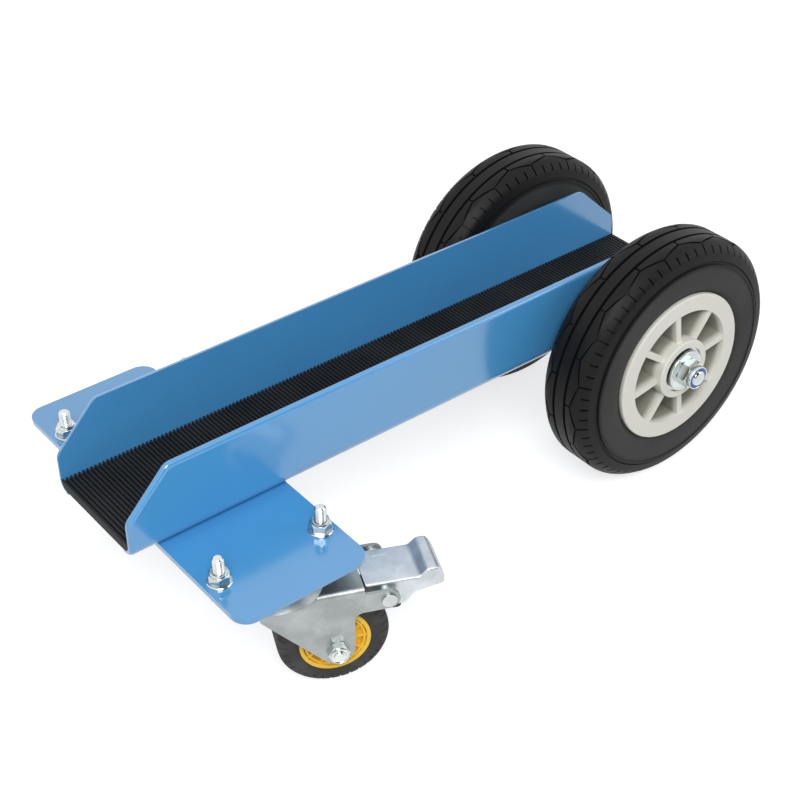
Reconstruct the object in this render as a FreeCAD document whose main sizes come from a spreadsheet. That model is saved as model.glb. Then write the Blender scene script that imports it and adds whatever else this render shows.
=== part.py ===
import FreeCAD, Part

import math
import os

import Sketcher

# The dolly stands on the ground at z = 0. Its two large wheels are at +X, its two
# swivel casters at -X. The right side is -Y and the left side is +Y.

V = FreeCAD.Vector
doc = FreeCAD.newDocument("door_dolly")

# Driving sizes, in millimetres and degrees
SIZES = {
    # Whole dolly
    "overall_length": 534,
    "play": 0.2,
    "fit_gap": 0.05,
    # Channel that takes the lower edge of the door
    "channel_length": 508,
    "channel_width": 93.4,
    "channel_height": 62.4,
    "channel_sheet": 4,
    "channel_bend": 10,
    "channel_edge_round": 3,
    "channel_corner_round": 9,
    "front_edge_height": 29.5,
    "front_slope_run": 32,
    "rear_edge_height": 26.5,
    "rear_slope_run": 37.9,
    "floor_setback": 6,
    # Ribbed rubber mat
    "mat_gap": 0.3,
    "mat_thickness": 6.5,
    "rib_pitch": 3.08,
    "rib_width": 1.6,
    "rib_depth": 2.2,
    # Cross plate over the casters
    "plate_setback": 72,
    "plate_length": 100,
    "plate_width": 273,
    "plate_thickness": 4,
    "plate_corner": 12,
    # Fixings between the cross plate and the casters
    "bolt_radius": 4,
    "bolt_hole_gap": 0.4,
    "bolt_spacing": 78,
    "bolt_head_flats": 13,
    "bolt_head_height": 5.3,
    "bolt_above_plate": 20,
    "bolt_tip_chamfer": 1,
    "bolt_washer_radius": 8.5,
    "bolt_washer_thickness": 1.6,
    "bolt_nut_height": 8,
    "bolt_nut_hex_height": 5.8,
    "bolt_collar_radius": 5.9,
    # Large wheels
    "wheel_radius": 99,
    "wheel_track": 161,
    "tyre_half_width": 25,
    "tyre_bead_radius": 54,
    "tyre_bead_half_width": 22,
    "tyre_foot_radius": 64,
    "tyre_crease_drop": 18.5,
    "tyre_shoulder_drop": 6.5,
    "tyre_shoulder_half_width": 22,
    "tread_half_width": 14,
    "tyre_wall_round": 5,
    "tread_edge_round": 8,
    "tread_groove_offset": 5.5,
    "tread_groove_width": 2.4,
    "tread_groove_depth": 3.5,
    "rim_half_width": 26,
    "rim_radius": 60,
    "rim_inner_radius": 47,
    "rim_lip_thickness": 3.6,
    "web_half_thickness": 2.5,
    "boss_half_width": 29.8,
    "boss_radius": 24,
    "spoke_count": 8,
    "spoke_width": 5,
    "spoke_setback": 1,
    "spoke_turn": 8.5,
    "boss_edge_round": 1,
    # Bearings of the large wheels
    "bearing_radius": 18.5,
    "bearing_width": 12,
    "bearing_inset": 1.5,
    "bearing_shoulder_radius": 15,
    "bearing_race_outer": 15.5,
    "bearing_race_inner": 10.5,
    "bearing_shield_recess": 0.8,
    "bearing_spacer_radius": 8.5,
    # Axle of the large wheels
    "axle_radius": 6,
    "axle_beyond_nut": 1.4,
    "axle_tip_chamfer": 1,
    "axle_washer_radius": 16.3,
    "axle_washer_collar_radius": 8.5,
    "axle_washer_thickness": 2.5,
    "axle_nut_flats": 19,
    "axle_nut_height": 12,
    "axle_nut_collar_height": 4,
    "axle_nut_collar_radius": 8.7,
    "nut_insert_radius": 7.5,
    "nut_insert_height": 3,
    "tube_radius": 9,
    "tube_wall": 2.4,
    # Caster seat and swivel
    "caster_inset": 40.5,
    "caster_heading": 23.4,
    "seat_length": 96,
    "seat_width": 62,
    "seat_thickness": 3,
    "seat_corner": 8,
    "dish_radius": 12,
    "dish_depth": 4,
    "dish_slope_run": 3.4,
    "skirt_radius": 27,
    "skirt_thickness": 3,
    "skirt_depth": 4.7,
    "kingpin_radius": 5,
    "kingpin_head_radius": 8,
    "kingpin_head_height": 3.2,
    "kingpin_tip": 2,
    "kingpin_washer_radius": 9.5,
    "kingpin_washer_thickness": 1.5,
    "kingpin_nut_flats": 17,
    "kingpin_nut_height": 7.5,
    "ball_radius": 3,
    "ball_circle_radius": 19.2,
    "ball_count": 12,
    # Caster fork
    "fork_sheet": 2.5,
    "fork_width": 48,
    "fork_fold": 4,
    "crown_drop": 8.5,
    "crown_top_radius": 23,
    "crown_rim_radius": 33,
    "crown_shoulder_round": 5,
    "crown_rim_round": 1.2,
    "fork_web_drop": 17.5,
    "fork_front": 12,
    "fork_front_drop": 11,
    "fork_front_round": 6,
    "fork_back": 55,
    "fork_slant": 42.5,
    "fork_boss_radius": 12,
    "fork_inner_round": 6,
    "arm_radius": 7.5,
    "caster_trail": 36,
    # Caster wheel
    "caster_headroom": 28,
    "caster_tyre_half_width": 15,
    "caster_tyre_round": 6,
    "caster_rim_radius": 24.2,
    "caster_rim_wall": 2.6,
    "caster_hub_half_width": 16.6,
    "caster_boss_radius": 14.5,
    "caster_web_half_thickness": 12,
    "caster_rib_count": 12,
    "caster_rib_width": 2,
    "caster_rib_setback": 1.2,
    "caster_bearing_radius": 11,
    "caster_bearing_width": 7,
    "caster_bearing_shoulder": 9,
    "caster_race_outer": 9.4,
    "caster_race_inner": 6.4,
    "caster_spacer_radius": 5.8,
    "caster_bolt_radius": 4,
    "caster_bolt_flats": 13,
    "caster_bolt_head_height": 5.3,
    "caster_nut_height": 7,
    "caster_nut_collar_radius": 6.2,
    "caster_nut_hex_height": 5,
    "caster_bolt_chamfer": 0.5,
    "caster_bolt_beyond_nut": 1,
    # Brake pedal
    "pedal_pivot_run": 71,
    "pedal_pivot_drop": 30,
    "pedal_pin_radius": 3,
    "pedal_pin_head_radius": 5,
    "pedal_pin_head_height": 1.6,
    "pedal_collar_radius": 5.5,
    "pedal_width": 34,
    "pedal_sheet": 2,
    "pedal_bend": 4,
    "pedal_edge_round": 2,
    "pedal_slope_shift": 0.7,
    "pedal_tail": 14,
    "pedal_tail_drop": 1,
    "pedal_top": 9,
    "pedal_valley_run": 22.5,
    "pedal_valley_drop": 1,
    "pedal_ridge_run": 28,
    "pedal_ridge_rise": 13.2,
    "pedal_nose_run": 35,
    "pedal_reach": 39.4,
    "pedal_nose_rise": 5.5,
    "pedal_lip_drop": 1.5,
    "pedal_throat_run": 20,
    "pedal_throat_drop": 5,
    "pedal_lobe_run": 12.5,
    "pedal_lobe_drop": 13,
    "pedal_heel_run": 3.5,
    "pedal_recess_start": -5,
    "pedal_recess_end": 20,
    "pedal_recess_half_width": 10,
    "pedal_recess_depth": 0.7,
    # Brake shoe
    "shoe_nose_back": 4.5,
    "shoe_nose_front": 10,
    "shoe_nose_drop": 16.8,
    "shoe_nose_radius": 2.5,
    "shoe_back": 6,
    "shoe_front": 12,
    "shoe_heel_drop": 5.5,
}

dim = doc.addObject("Spreadsheet::Sheet", "dim")
for row, (alias, size) in enumerate(SIZES.items(), start=1):
    dim.set(f"A{row}", alias)
    dim.set(f"B{row}", str(size))
    dim.setAlias(f"B{row}", alias)
doc.recompute()

# Places that follow from the driving sizes, as expressions on the sheet
CHANNEL_UNDERSIDE = "(dim.wheel_radius + dim.tube_radius)"
CHANNEL_FLOOR = f"({CHANNEL_UNDERSIDE} + dim.channel_sheet)"
CHANNEL_FRONT = "(-dim.overall_length / 2)"
CHANNEL_HALF_INSIDE = "(dim.channel_width / 2 - dim.channel_sheet)"
CHANNEL_INNER_BEND = "(dim.channel_bend - dim.channel_sheet)"
PLATE_X = "(dim.plate_setback - dim.overall_length / 2)"
BOLT_HOLE = "(dim.bolt_radius + dim.bolt_hole_gap)"
BOLT_BORE = "(dim.bolt_radius + dim.fit_gap)"
CASTER_BORE = "(dim.caster_bolt_radius + dim.fit_gap)"
AXLE_X = "(dim.overall_length / 2 - dim.wheel_radius)"
AXLE_BORE = "(dim.axle_radius + dim.fit_gap)"
WHEEL_OUTER_FACE = "(dim.wheel_track / 2 + dim.boss_half_width + dim.play)"
WHEEL_INNER_FACE = "(dim.wheel_track / 2 - dim.boss_half_width - dim.play)"
NUT_FACE = f"({WHEEL_OUTER_FACE} + dim.axle_washer_thickness)"
CASTER_HEIGHT = f"({CHANNEL_UNDERSIDE} - dim.plate_thickness)"
CASTER_OFFSET = "(dim.plate_width / 2 - dim.caster_inset)"
CASTER_WHEEL_RADIUS = f"(({CASTER_HEIGHT} - dim.caster_headroom) / 2)"
SEAT_UNDERSIDE = f"({CASTER_HEIGHT} - dim.seat_thickness)"
DISH_FLOOR = f"({CASTER_HEIGHT} - dim.dish_depth)"
BALL_HEIGHT = f"({SEAT_UNDERSIDE} - dim.ball_radius - dim.play)"
CROWN_TOP = f"({CASTER_HEIGHT} - dim.crown_drop)"
CROWN_UNDERSIDE = f"({CROWN_TOP} - dim.fork_sheet)"
WASHER_TOP = f"({CROWN_UNDERSIDE} - dim.play)"
KING_NUT_TOP = f"({WASHER_TOP} - dim.kingpin_washer_thickness)"
KING_BORE = "(dim.kingpin_radius + dim.fit_gap)"
WEB_TOP = f"({CASTER_HEIGHT} - dim.fork_web_drop)"
WEB_UNDERSIDE = f"({WEB_TOP} - dim.fork_sheet)"
LEG_INSIDE = "(dim.fork_width / 2 - dim.fork_sheet)"
LEG_OUTSIDE = "(dim.fork_width / 2)"
PIVOT_HEIGHT = f"({CASTER_HEIGHT} - dim.pedal_pivot_drop)"
PIN_BORE = "(dim.pedal_pin_radius + dim.fit_gap)"

RIGHT = "right"
LEFT = "left"
SIDE_SIGN = {RIGHT: -1, LEFT: 1}

PARTS = []


def number(expression):
    """Present value of an expression on the sheet."""
    return float(dim.evalExpression(expression))


def new_body(label, x="0", y="0", z="0", yaw=0.0):
    """Empty body whose own origin stands at x, y, z, turned about the vertical by yaw."""
    body = doc.addObject("PartDesign::Body", label)
    body.Label = label
    body.AllowCompound = True
    body.Placement = FreeCAD.Placement(V(), FreeCAD.Rotation(V(0, 0, 1), yaw))
    for axis, place in zip("xyz", (x, y, z)):
        body.setExpression(f"Placement.Base.{axis}", place)
    PARTS.append(body)
    return body


def origin_feature(body, role):
    """Origin plane or axis of a body."""
    return next(item for item in body.Origin.OriginFeatures if item.Role == role)


def new_sketch(body, plane, offset="0", turn="0"):
    """Sketch on one of the body's own origin planes, moved along its normal and turned about it."""
    sketch = body.newObject("Sketcher::SketchObject", f"{body.Label}_outline")
    sketch.AttachmentSupport = [(origin_feature(body, plane), "")]
    sketch.MapMode = "FlatFace"
    sketch.AttachmentOffset = FreeCAD.Placement(V(), FreeCAD.Rotation(V(0, 0, 1), number(turn)))
    sketch.setExpression("AttachmentOffset.Base.z", offset)
    sketch.setExpression("AttachmentOffset.Rotation.Angle", turn)
    return sketch


def bind(sketch, kind, geometry, point, size):
    """Constraint whose value is an expression on the sheet."""
    if point is None:
        constraint = Sketcher.Constraint(kind, geometry, number(size))
    else:
        constraint = Sketcher.Constraint(kind, geometry, point, number(size))
    index = sketch.addConstraint(constraint)
    sketch.setExpression(f"Constraints[{index}]", size)


def circle(sketch, x, y, radius):
    """Circle with its centre and radius bound to the sheet."""
    centre = V(number(x), number(y), 0)
    geometry = sketch.addGeometry(Part.Circle(centre, V(0, 0, 1), number(radius)), False)
    bind(sketch, "Radius", geometry, None, radius)
    bind(sketch, "DistanceX", geometry, 3, x)
    bind(sketch, "DistanceY", geometry, 3, y)


def corner_arc(before, here, after, radius):
    """Round corner: where it starts and ends, its centre, and whether it turns left."""
    back = (before - here).normalize()
    onward = (after - here).normalize()
    half = back.getAngle(onward) / 2
    reach = radius / math.tan(half)
    centre = here + (back + onward).normalize() * (radius / math.sin(half))
    turns_left = back.cross(onward).z < 0
    return here + back * reach, here + onward * reach, centre, turns_left


def outline(sketch, corners):
    """Closed outline through corners, each x, y and, where it is rounded, a radius."""
    places = [V(number(corner[0]), number(corner[1]), 0) for corner in corners]
    count = len(places)
    enters = list(places)
    leaves = list(places)
    arcs = {}
    for index, corner in enumerate(corners):
        if len(corner) < 3:
            continue
        neighbours = places[index - 1], places[(index + 1) % count]
        radius = number(corner[2])
        start, end, centre, left = corner_arc(neighbours[0], places[index], neighbours[1], radius)
        enters[index], leaves[index] = start, end
        first, last = (start, end) if left else (end, start)
        angles = [math.atan2(point.y - centre.y, point.x - centre.x) for point in (first, last)]
        if angles[1] < angles[0]:
            angles[1] += 2 * math.pi
        round_form = Part.ArcOfCircle(Part.Circle(centre, V(0, 0, 1), radius), *angles)
        arcs[index] = (sketch.addGeometry(round_form, False), left)
    lines = []
    for index in range(count):
        run = Part.LineSegment(leaves[index], enters[(index + 1) % count])
        lines.append(sketch.addGeometry(run, False))
    for index, corner in enumerate(corners):
        before, after = lines[index - 1], lines[index]
        if index in arcs:
            arc, left = arcs[index]
            entry, leave = (1, 2) if left else (2, 1)
            apex = sketch.addGeometry(Part.Point(places[index]), True)
            sketch.addConstraint(Sketcher.Constraint("Tangent", before, 2, arc, entry))
            sketch.addConstraint(Sketcher.Constraint("Tangent", arc, leave, after, 1))
            sketch.addConstraint(Sketcher.Constraint("PointOnObject", apex, 1, before))
            sketch.addConstraint(Sketcher.Constraint("PointOnObject", apex, 1, after))
            bind(sketch, "Radius", arc, None, corner[2])
            bind(sketch, "DistanceX", apex, 1, corner[0])
            bind(sketch, "DistanceY", apex, 1, corner[1])
        else:
            sketch.addConstraint(Sketcher.Constraint("Coincident", before, 2, after, 1))
            bind(sketch, "DistanceX", after, 1, corner[0])
            bind(sketch, "DistanceY", after, 1, corner[1])


def rectangle(sketch, left, right, low, high, radius=None):
    """Rectangle between four expressions, with equally rounded corners if a radius is given."""
    corners = [(left, low), (right, low), (right, high), (left, high)]
    if radius:
        corners = [(x, y, radius) for x, y in corners]
    outline(sketch, corners)


def hexagon(sketch, x, y, flats):
    """Hexagon about x, y with a given size across its flats."""
    reach = f"{flats} / sqrt(3)"
    turns = range(0, 360, 60)
    outline(sketch, [(f"{x} + {reach} * cos({a})", f"{y} + {reach} * sin({a})") for a in turns])


def pad(body, sketch, length, centred=False, backwards=False):
    """Solid drawn up from a sketch."""
    feature = body.newObject("PartDesign::Pad", f"{body.Label}_pad")
    feature.Profile = sketch
    feature.SideType = "Symmetric" if centred else "One side"
    feature.Reversed = backwards
    feature.setExpression("Length", length)
    return feature


def pocket(body, sketch, length, centred=False, forwards=False):
    """Cut from a sketch against its normal, or along it when forwards."""
    doc.recompute()
    before = body.Shape.Volume
    feature = body.newObject("PartDesign::Pocket", f"{body.Label}_pocket")
    feature.Profile = sketch
    feature.SideType = "Symmetric" if centred else "One side"
    feature.Reversed = forwards
    feature.setExpression("Length", length)
    doc.recompute()
    if body.Shape.Volume >= before:
        raise RuntimeError(f"a cut in {body.Label} removes nothing")
    return feature


def revolve(body, sketch, axis):
    """Solid of revolution about an axis of its own sketch."""
    feature = body.newObject("PartDesign::Revolution", f"{body.Label}_turned")
    feature.Profile = sketch
    feature.ReferenceAxis = (sketch, [axis])
    feature.Angle = 360
    return feature


def groove(body, sketch, axis):
    """Turned cut about an axis of its own sketch."""
    doc.recompute()
    before = body.Shape.Volume
    feature = body.newObject("PartDesign::Groove", f"{body.Label}_groove")
    feature.Profile = sketch
    feature.ReferenceAxis = (sketch, [axis])
    feature.Angle = 360
    doc.recompute()
    if body.Shape.Volume >= before:
        raise RuntimeError(f"a groove in {body.Label} removes nothing")
    return feature


def polar(body, feature, axis, count):
    """Feature repeated about an origin axis of the body."""
    pattern = body.newObject("PartDesign::PolarPattern", f"{body.Label}_ring")
    pattern.Originals = [feature]
    pattern.Axis = (origin_feature(body, axis), [""])
    pattern.Angle = 360
    pattern.setExpression("Occurrences", count)
    body.Tip = pattern
    return pattern


def mirror(body, feature, plane):
    """Feature repeated on the other side of an origin plane of the body."""
    twin = body.newObject("PartDesign::Mirrored", f"{body.Label}_twin")
    twin.Originals = [feature]
    twin.MirrorPlane = (origin_feature(body, plane), [""])
    body.Tip = twin
    return twin


def dress(body, kind, keeps, setting, size):
    """Fillet or chamfer on the edges whose middle and direction pass a test."""
    doc.recompute()
    base = body.Tip
    names = []
    for index, edge in enumerate(base.Shape.Edges, start=1):
        middle = edge.valueAt((edge.FirstParameter + edge.LastParameter) / 2)
        if keeps(edge, middle):
            names.append(f"Edge{index}")
    if not names:
        raise RuntimeError(f"no edge to dress in {body.Label}")
    feature = body.newObject(f"PartDesign::{kind}", f"{body.Label}_{kind.lower()}")
    feature.Base = (base, names)
    feature.setExpression(setting, size)
    return feature


def near(first, second):
    """True when two lengths agree to a thousandth of a millimetre."""
    return abs(first - second) < 1e-3


def straight_along(edge, axis):
    """True for a straight edge that runs along an axis vector."""
    if not isinstance(edge.Curve, Part.Line):
        return False
    return abs(abs(edge.Curve.Direction.dot(axis)) - 1) < 1e-6


X_AXIS = V(1, 0, 0)
Y_AXIS = V(0, 1, 0)


def make_channel():
    """Bent sheet channel with sloped wall ends and a rounded outer edge."""
    body = new_body("channel", x=CHANNEL_FRONT, z=CHANNEL_UNDERSIDE)
    side = new_sketch(body, "XZ_Plane")
    outline(side, [
        ("0", "0"),
        ("dim.channel_length", "0"),
        ("dim.channel_length", "dim.rear_edge_height", "dim.channel_corner_round"),
        ("dim.channel_length - dim.rear_slope_run", "dim.channel_height", "dim.channel_corner_round"),
        ("dim.front_slope_run", "dim.channel_height", "dim.channel_corner_round"),
        ("0", "dim.front_edge_height", "dim.channel_corner_round"),
    ])
    pad(body, side, "dim.channel_width", centred=True)
    dress(body, "Fillet", lambda e, m: near(m.z, 0) and straight_along(e, X_AXIS),
          "Radius", "dim.channel_bend")
    top = number("dim.channel_height")
    dress(body, "Fillet", lambda e, m: near(m.z, top) and straight_along(e, X_AXIS),
          "Radius", "dim.channel_edge_round")
    inside = new_sketch(body, "YZ_Plane")
    above = "dim.channel_height + dim.channel_sheet"
    outline(inside, [
        (f"-{CHANNEL_HALF_INSIDE}", "dim.channel_sheet", CHANNEL_INNER_BEND),
        (CHANNEL_HALF_INSIDE, "dim.channel_sheet", CHANNEL_INNER_BEND),
        (CHANNEL_HALF_INSIDE, above),
        (f"-{CHANNEL_HALF_INSIDE}", above),
    ])
    pocket(body, inside, "dim.channel_length", forwards=True)
    ends = new_sketch(body, "XY_Plane")
    flat = f"({CHANNEL_HALF_INSIDE} - {CHANNEL_INNER_BEND})"
    rectangle(ends, "-dim.floor_setback", "dim.floor_setback", f"-{flat}", flat)
    rectangle(ends, "dim.channel_length - dim.floor_setback",
              "dim.channel_length + dim.floor_setback", f"-{flat}", flat)
    pocket(body, ends, "dim.channel_sheet", forwards=True)


def make_mat():
    """Rubber mat with cross ribs over its whole length."""
    body = new_body("rubber_mat", x=CHANNEL_FRONT, z=CHANNEL_FLOOR)
    half = f"({CHANNEL_HALF_INSIDE} - dim.mat_gap)"
    section = new_sketch(body, "YZ_Plane")
    bend = f"min({CHANNEL_INNER_BEND}; dim.mat_thickness - dim.mat_gap)"
    outline(section, [
        (f"-{half}", "0", bend),
        (half, "0", bend),
        (half, "dim.mat_thickness"),
        (f"-{half}", "dim.mat_thickness"),
    ])
    pad(body, section, "dim.channel_length")
    gap = new_sketch(body, "XZ_Plane")
    rectangle(gap, "dim.rib_width", "dim.rib_pitch",
              "dim.mat_thickness - dim.rib_depth", "dim.mat_thickness + dim.rib_depth")
    cut = pocket(body, gap, "dim.channel_width", centred=True)
    ribs = body.newObject("PartDesign::LinearPattern", "rubber_mat_ribs")
    ribs.Originals = [cut]
    ribs.Direction = (origin_feature(body, "X_Axis"), [""])
    count = "floor(dim.channel_length / dim.rib_pitch)"
    ribs.setExpression("Occurrences", count)
    ribs.setExpression("Length", f"({count} - 1) * dim.rib_pitch")
    body.Tip = ribs


def make_cross_plate():
    """Flat plate across the underside of the channel, with the casters' bolt holes."""
    body = new_body("cross_plate", x=PLATE_X, z=CASTER_HEIGHT)
    plan = new_sketch(body, "XY_Plane")
    rectangle(plan, "-dim.plate_length / 2", "dim.plate_length / 2",
              "-dim.plate_width / 2", "dim.plate_width / 2", "dim.plate_corner")
    pad(body, plan, "dim.plate_thickness")
    holes = new_sketch(body, "XY_Plane")
    bolt_circles(holes, BOLT_HOLE)
    pocket(body, holes, "dim.plate_thickness", forwards=True)


def bolt_places():
    """Centres of the four fixing bolts, from the middle of the cross plate."""
    for x in ("-dim.bolt_spacing / 2", "dim.bolt_spacing / 2"):
        for y in (f"-{CASTER_OFFSET}", CASTER_OFFSET):
            yield x, y


def bolt_circles(sketch, radius):
    """Circle at each fixing bolt."""
    for x, y in bolt_places():
        circle(sketch, x, y, radius)


def make_caster_bolts():
    """Hexagon bolts from below, with a washer and a lock nut each on the cross plate."""
    bolts = new_body("caster_bolts", x=PLATE_X, z=SEAT_UNDERSIDE)
    heads = new_sketch(bolts, "XY_Plane")
    for x, y in bolt_places():
        hexagon(heads, x, y, "dim.bolt_head_flats")
    pad(bolts, heads, "dim.bolt_head_height", backwards=True)
    shanks = new_sketch(bolts, "XY_Plane")
    bolt_circles(shanks, "dim.bolt_radius")
    length = "dim.seat_thickness + dim.plate_thickness + dim.bolt_above_plate"
    pad(bolts, shanks, length)
    top = number(f"{SEAT_UNDERSIDE} + {length}")
    dress(bolts, "Chamfer", lambda e, m: near(m.z + number(SEAT_UNDERSIDE), top),
          "Size", "dim.bolt_tip_chamfer")

    washers = new_body("caster_bolt_washers", x=PLATE_X, z=CHANNEL_UNDERSIDE)
    rings = new_sketch(washers, "XY_Plane")
    bolt_circles(rings, "dim.bolt_washer_radius")
    bolt_circles(rings, BOLT_HOLE)
    pad(washers, rings, "dim.bolt_washer_thickness")

    nuts = new_body("caster_bolt_nuts", x=PLATE_X,
                    z=f"{CHANNEL_UNDERSIDE} + dim.bolt_washer_thickness")
    hexes = new_sketch(nuts, "XY_Plane")
    for x, y in bolt_places():
        hexagon(hexes, x, y, "dim.bolt_head_flats")
    pad(nuts, hexes, "dim.bolt_nut_hex_height")
    collars = new_sketch(nuts, "XY_Plane")
    bolt_circles(collars, "dim.bolt_collar_radius")
    pad(nuts, collars, "dim.bolt_nut_height")
    bores = new_sketch(nuts, "XY_Plane")
    bolt_circles(bores, BOLT_BORE)
    pocket(nuts, bores, "dim.bolt_nut_height", forwards=True)


def make_axle():
    """Axle, its carrying tube under the channel, and the washers and lock nuts at its ends."""
    tube = new_body("axle_tube", x=AXLE_X, z="dim.wheel_radius")
    ring = new_sketch(tube, "XZ_Plane")
    circle(ring, "0", "0", "dim.tube_radius")
    circle(ring, "0", "0", "dim.tube_radius - dim.tube_wall")
    pad(tube, ring, f"2 * {WHEEL_INNER_FACE}", centred=True)

    axle = new_body("wheel_axle", x=AXLE_X, z="dim.wheel_radius")
    rod = new_sketch(axle, "XZ_Plane")
    circle(rod, "0", "0", "dim.axle_radius")
    half = f"({NUT_FACE} + dim.axle_nut_height + dim.axle_beyond_nut)"
    pad(axle, rod, f"2 * {half}", centred=True)
    dress(axle, "Chamfer", lambda e, m: near(abs(m.y), number(half)), "Size", "dim.axle_tip_chamfer")

    washers = new_body("axle_washers", x=AXLE_X, z="dim.wheel_radius")
    washer = new_sketch(washers, "XZ_Plane", WHEEL_OUTER_FACE)
    circle(washer, "0", "0", "dim.axle_washer_radius")
    circle(washer, "0", "0", AXLE_BORE)
    mirror(washers, pad(washers, washer, "dim.axle_washer_thickness"), "XZ_Plane")
    step = new_sketch(washers, "XZ_Plane", f"{WHEEL_OUTER_FACE} - dim.bearing_inset")
    circle(step, "0", "0", "dim.axle_washer_collar_radius")
    circle(step, "0", "0", AXLE_BORE)
    mirror(washers, pad(washers, step, "dim.bearing_inset"), "XZ_Plane")

    nuts = new_body("axle_lock_nuts", x=AXLE_X, z="dim.wheel_radius")
    hexed = new_sketch(nuts, "XZ_Plane", NUT_FACE)
    hexagon(hexed, "0", "0", "dim.axle_nut_flats")
    circle(hexed, "0", "0", AXLE_BORE)
    body_part = pad(nuts, hexed, "dim.axle_nut_height - dim.axle_nut_collar_height")
    mirror(nuts, body_part, "XZ_Plane")
    collar_face = f"({NUT_FACE} + dim.axle_nut_height - dim.axle_nut_collar_height)"
    collar = new_sketch(nuts, "XZ_Plane", collar_face)
    circle(collar, "0", "0", "dim.axle_nut_collar_radius")
    circle(collar, "0", "0", "dim.nut_insert_radius")
    mirror(nuts, pad(nuts, collar, "dim.axle_nut_collar_height"), "XZ_Plane")

    inserts = new_body("axle_nut_inserts", x=AXLE_X, z="dim.wheel_radius")
    insert = new_sketch(inserts, "XZ_Plane", collar_face)
    circle(insert, "0", "0", "dim.nut_insert_radius - dim.fit_gap")
    circle(insert, "0", "0", AXLE_BORE)
    mirror(inserts, pad(inserts, insert, "dim.nut_insert_height"), "XZ_Plane")


def ring_pair(label, place, inner_face, width, outer, bore, race):
    """Two shielded ball bearings, closed to solid rings, facing outwards along Y."""
    body = new_body(label, **place)
    section = new_sketch(body, "YZ_Plane")
    outer_face = f"({inner_face} + {width})"
    shield = f"({outer_face} - dim.bearing_shield_recess)"
    outline(section, [
        (inner_face, bore),
        (outer_face, bore),
        (outer_face, race[0]),
        (shield, race[0]),
        (shield, race[1]),
        (outer_face, race[1]),
        (outer_face, outer),
        (inner_face, outer),
    ])
    mirror(body, revolve(body, section, "H_Axis"), "XZ_Plane")


def make_wheel(side):
    """Large wheel: tyre, spoked hub, two bearings and the spacer between them."""
    sign = SIDE_SIGN[side]
    place = {"x": AXLE_X, "y": f"{sign} * dim.wheel_track / 2", "z": "dim.wheel_radius"}

    tyre = new_body(f"{side}_wheel_tyre", **place)
    section = new_sketch(tyre, "YZ_Plane")
    half = [
        ("dim.tyre_bead_half_width", "dim.tyre_bead_radius + dim.fit_gap"),
        ("dim.tyre_bead_half_width", "dim.rim_radius"),
        ("dim.tyre_half_width", "dim.tyre_foot_radius", "dim.tyre_wall_round"),
        ("dim.tyre_half_width", "dim.wheel_radius - dim.tyre_crease_drop", "dim.tyre_wall_round"),
        ("dim.tyre_shoulder_half_width", "dim.wheel_radius - dim.tyre_shoulder_drop",
         "dim.tread_edge_round"),
        ("dim.tread_half_width", "dim.wheel_radius", "dim.tread_edge_round"),
    ]
    other = [(f"-{corner[0]}", *corner[1:]) for corner in reversed(half)]
    outline(section, half + other)
    revolve(tyre, section, "H_Axis")
    treads = new_sketch(tyre, "YZ_Plane")
    for offset in ("-dim.tread_groove_offset", "dim.tread_groove_offset"):
        rectangle(treads, f"{offset} - dim.tread_groove_width / 2",
                  f"{offset} + dim.tread_groove_width / 2",
                  "dim.wheel_radius - dim.tread_groove_depth",
                  "dim.wheel_radius + dim.tread_groove_depth")
    groove(tyre, treads, "H_Axis")

    hub = new_body(f"{side}_wheel_hub", **place)
    turned = new_sketch(hub, "YZ_Plane")
    seat_depth = "(dim.boss_half_width - dim.bearing_inset - dim.bearing_width)"
    lip = "(dim.rim_half_width - dim.rim_lip_thickness)"
    half = [
        (seat_depth, "dim.bearing_shoulder_radius"),
        (seat_depth, "dim.bearing_radius"),
        ("dim.boss_half_width", "dim.bearing_radius"),
        ("dim.boss_half_width", "dim.boss_radius", "dim.boss_edge_round"),
        ("dim.web_half_thickness", "dim.boss_radius"),
        ("dim.web_half_thickness", "dim.rim_inner_radius"),
        ("dim.rim_half_width", "dim.rim_inner_radius"),
        ("dim.rim_half_width", "dim.rim_radius - dim.fit_gap", "dim.boss_edge_round"),
        (lip, "dim.rim_radius - dim.fit_gap"),
        (lip, "dim.tyre_bead_radius"),
    ]
    other = [(f"-{corner[0]}", *corner[1:]) for corner in reversed(half)]
    outline(turned, half + other)
    revolve(hub, turned, "H_Axis")
    rib = new_sketch(hub, "XZ_Plane", turn="dim.spoke_turn")
    rectangle(rib, "(dim.bearing_radius + dim.boss_radius) / 2",
              "(dim.rim_inner_radius + dim.tyre_bead_radius) / 2",
              "-dim.spoke_width / 2", "dim.spoke_width / 2")
    spoke = pad(hub, rib, "2 * (dim.rim_half_width - dim.spoke_setback)", centred=True)
    polar(hub, spoke, "Y_Axis", "dim.spoke_count")

    ring_pair(f"{side}_wheel_bearings", place, seat_depth, "dim.bearing_width",
              "dim.bearing_radius - dim.fit_gap", AXLE_BORE,
              ("dim.bearing_race_inner", "dim.bearing_race_outer"))

    spacer = new_body(f"{side}_wheel_spacer", **place)
    ring = new_sketch(spacer, "XZ_Plane")
    circle(ring, "0", "0", "dim.bearing_spacer_radius")
    circle(ring, "0", "0", AXLE_BORE)
    pad(spacer, ring, f"2 * ({seat_depth} - dim.fit_gap)", centred=True)


def caster_place(side, turned):
    """Where a caster's swivel axis stands on the ground, turned to its heading or square."""
    sign = SIDE_SIGN[side]
    yaw = sign * number("dim.caster_heading") if turned else 0.0
    return {"x": PLATE_X, "y": f"{sign} * {CASTER_OFFSET}", "yaw": yaw}


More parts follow.
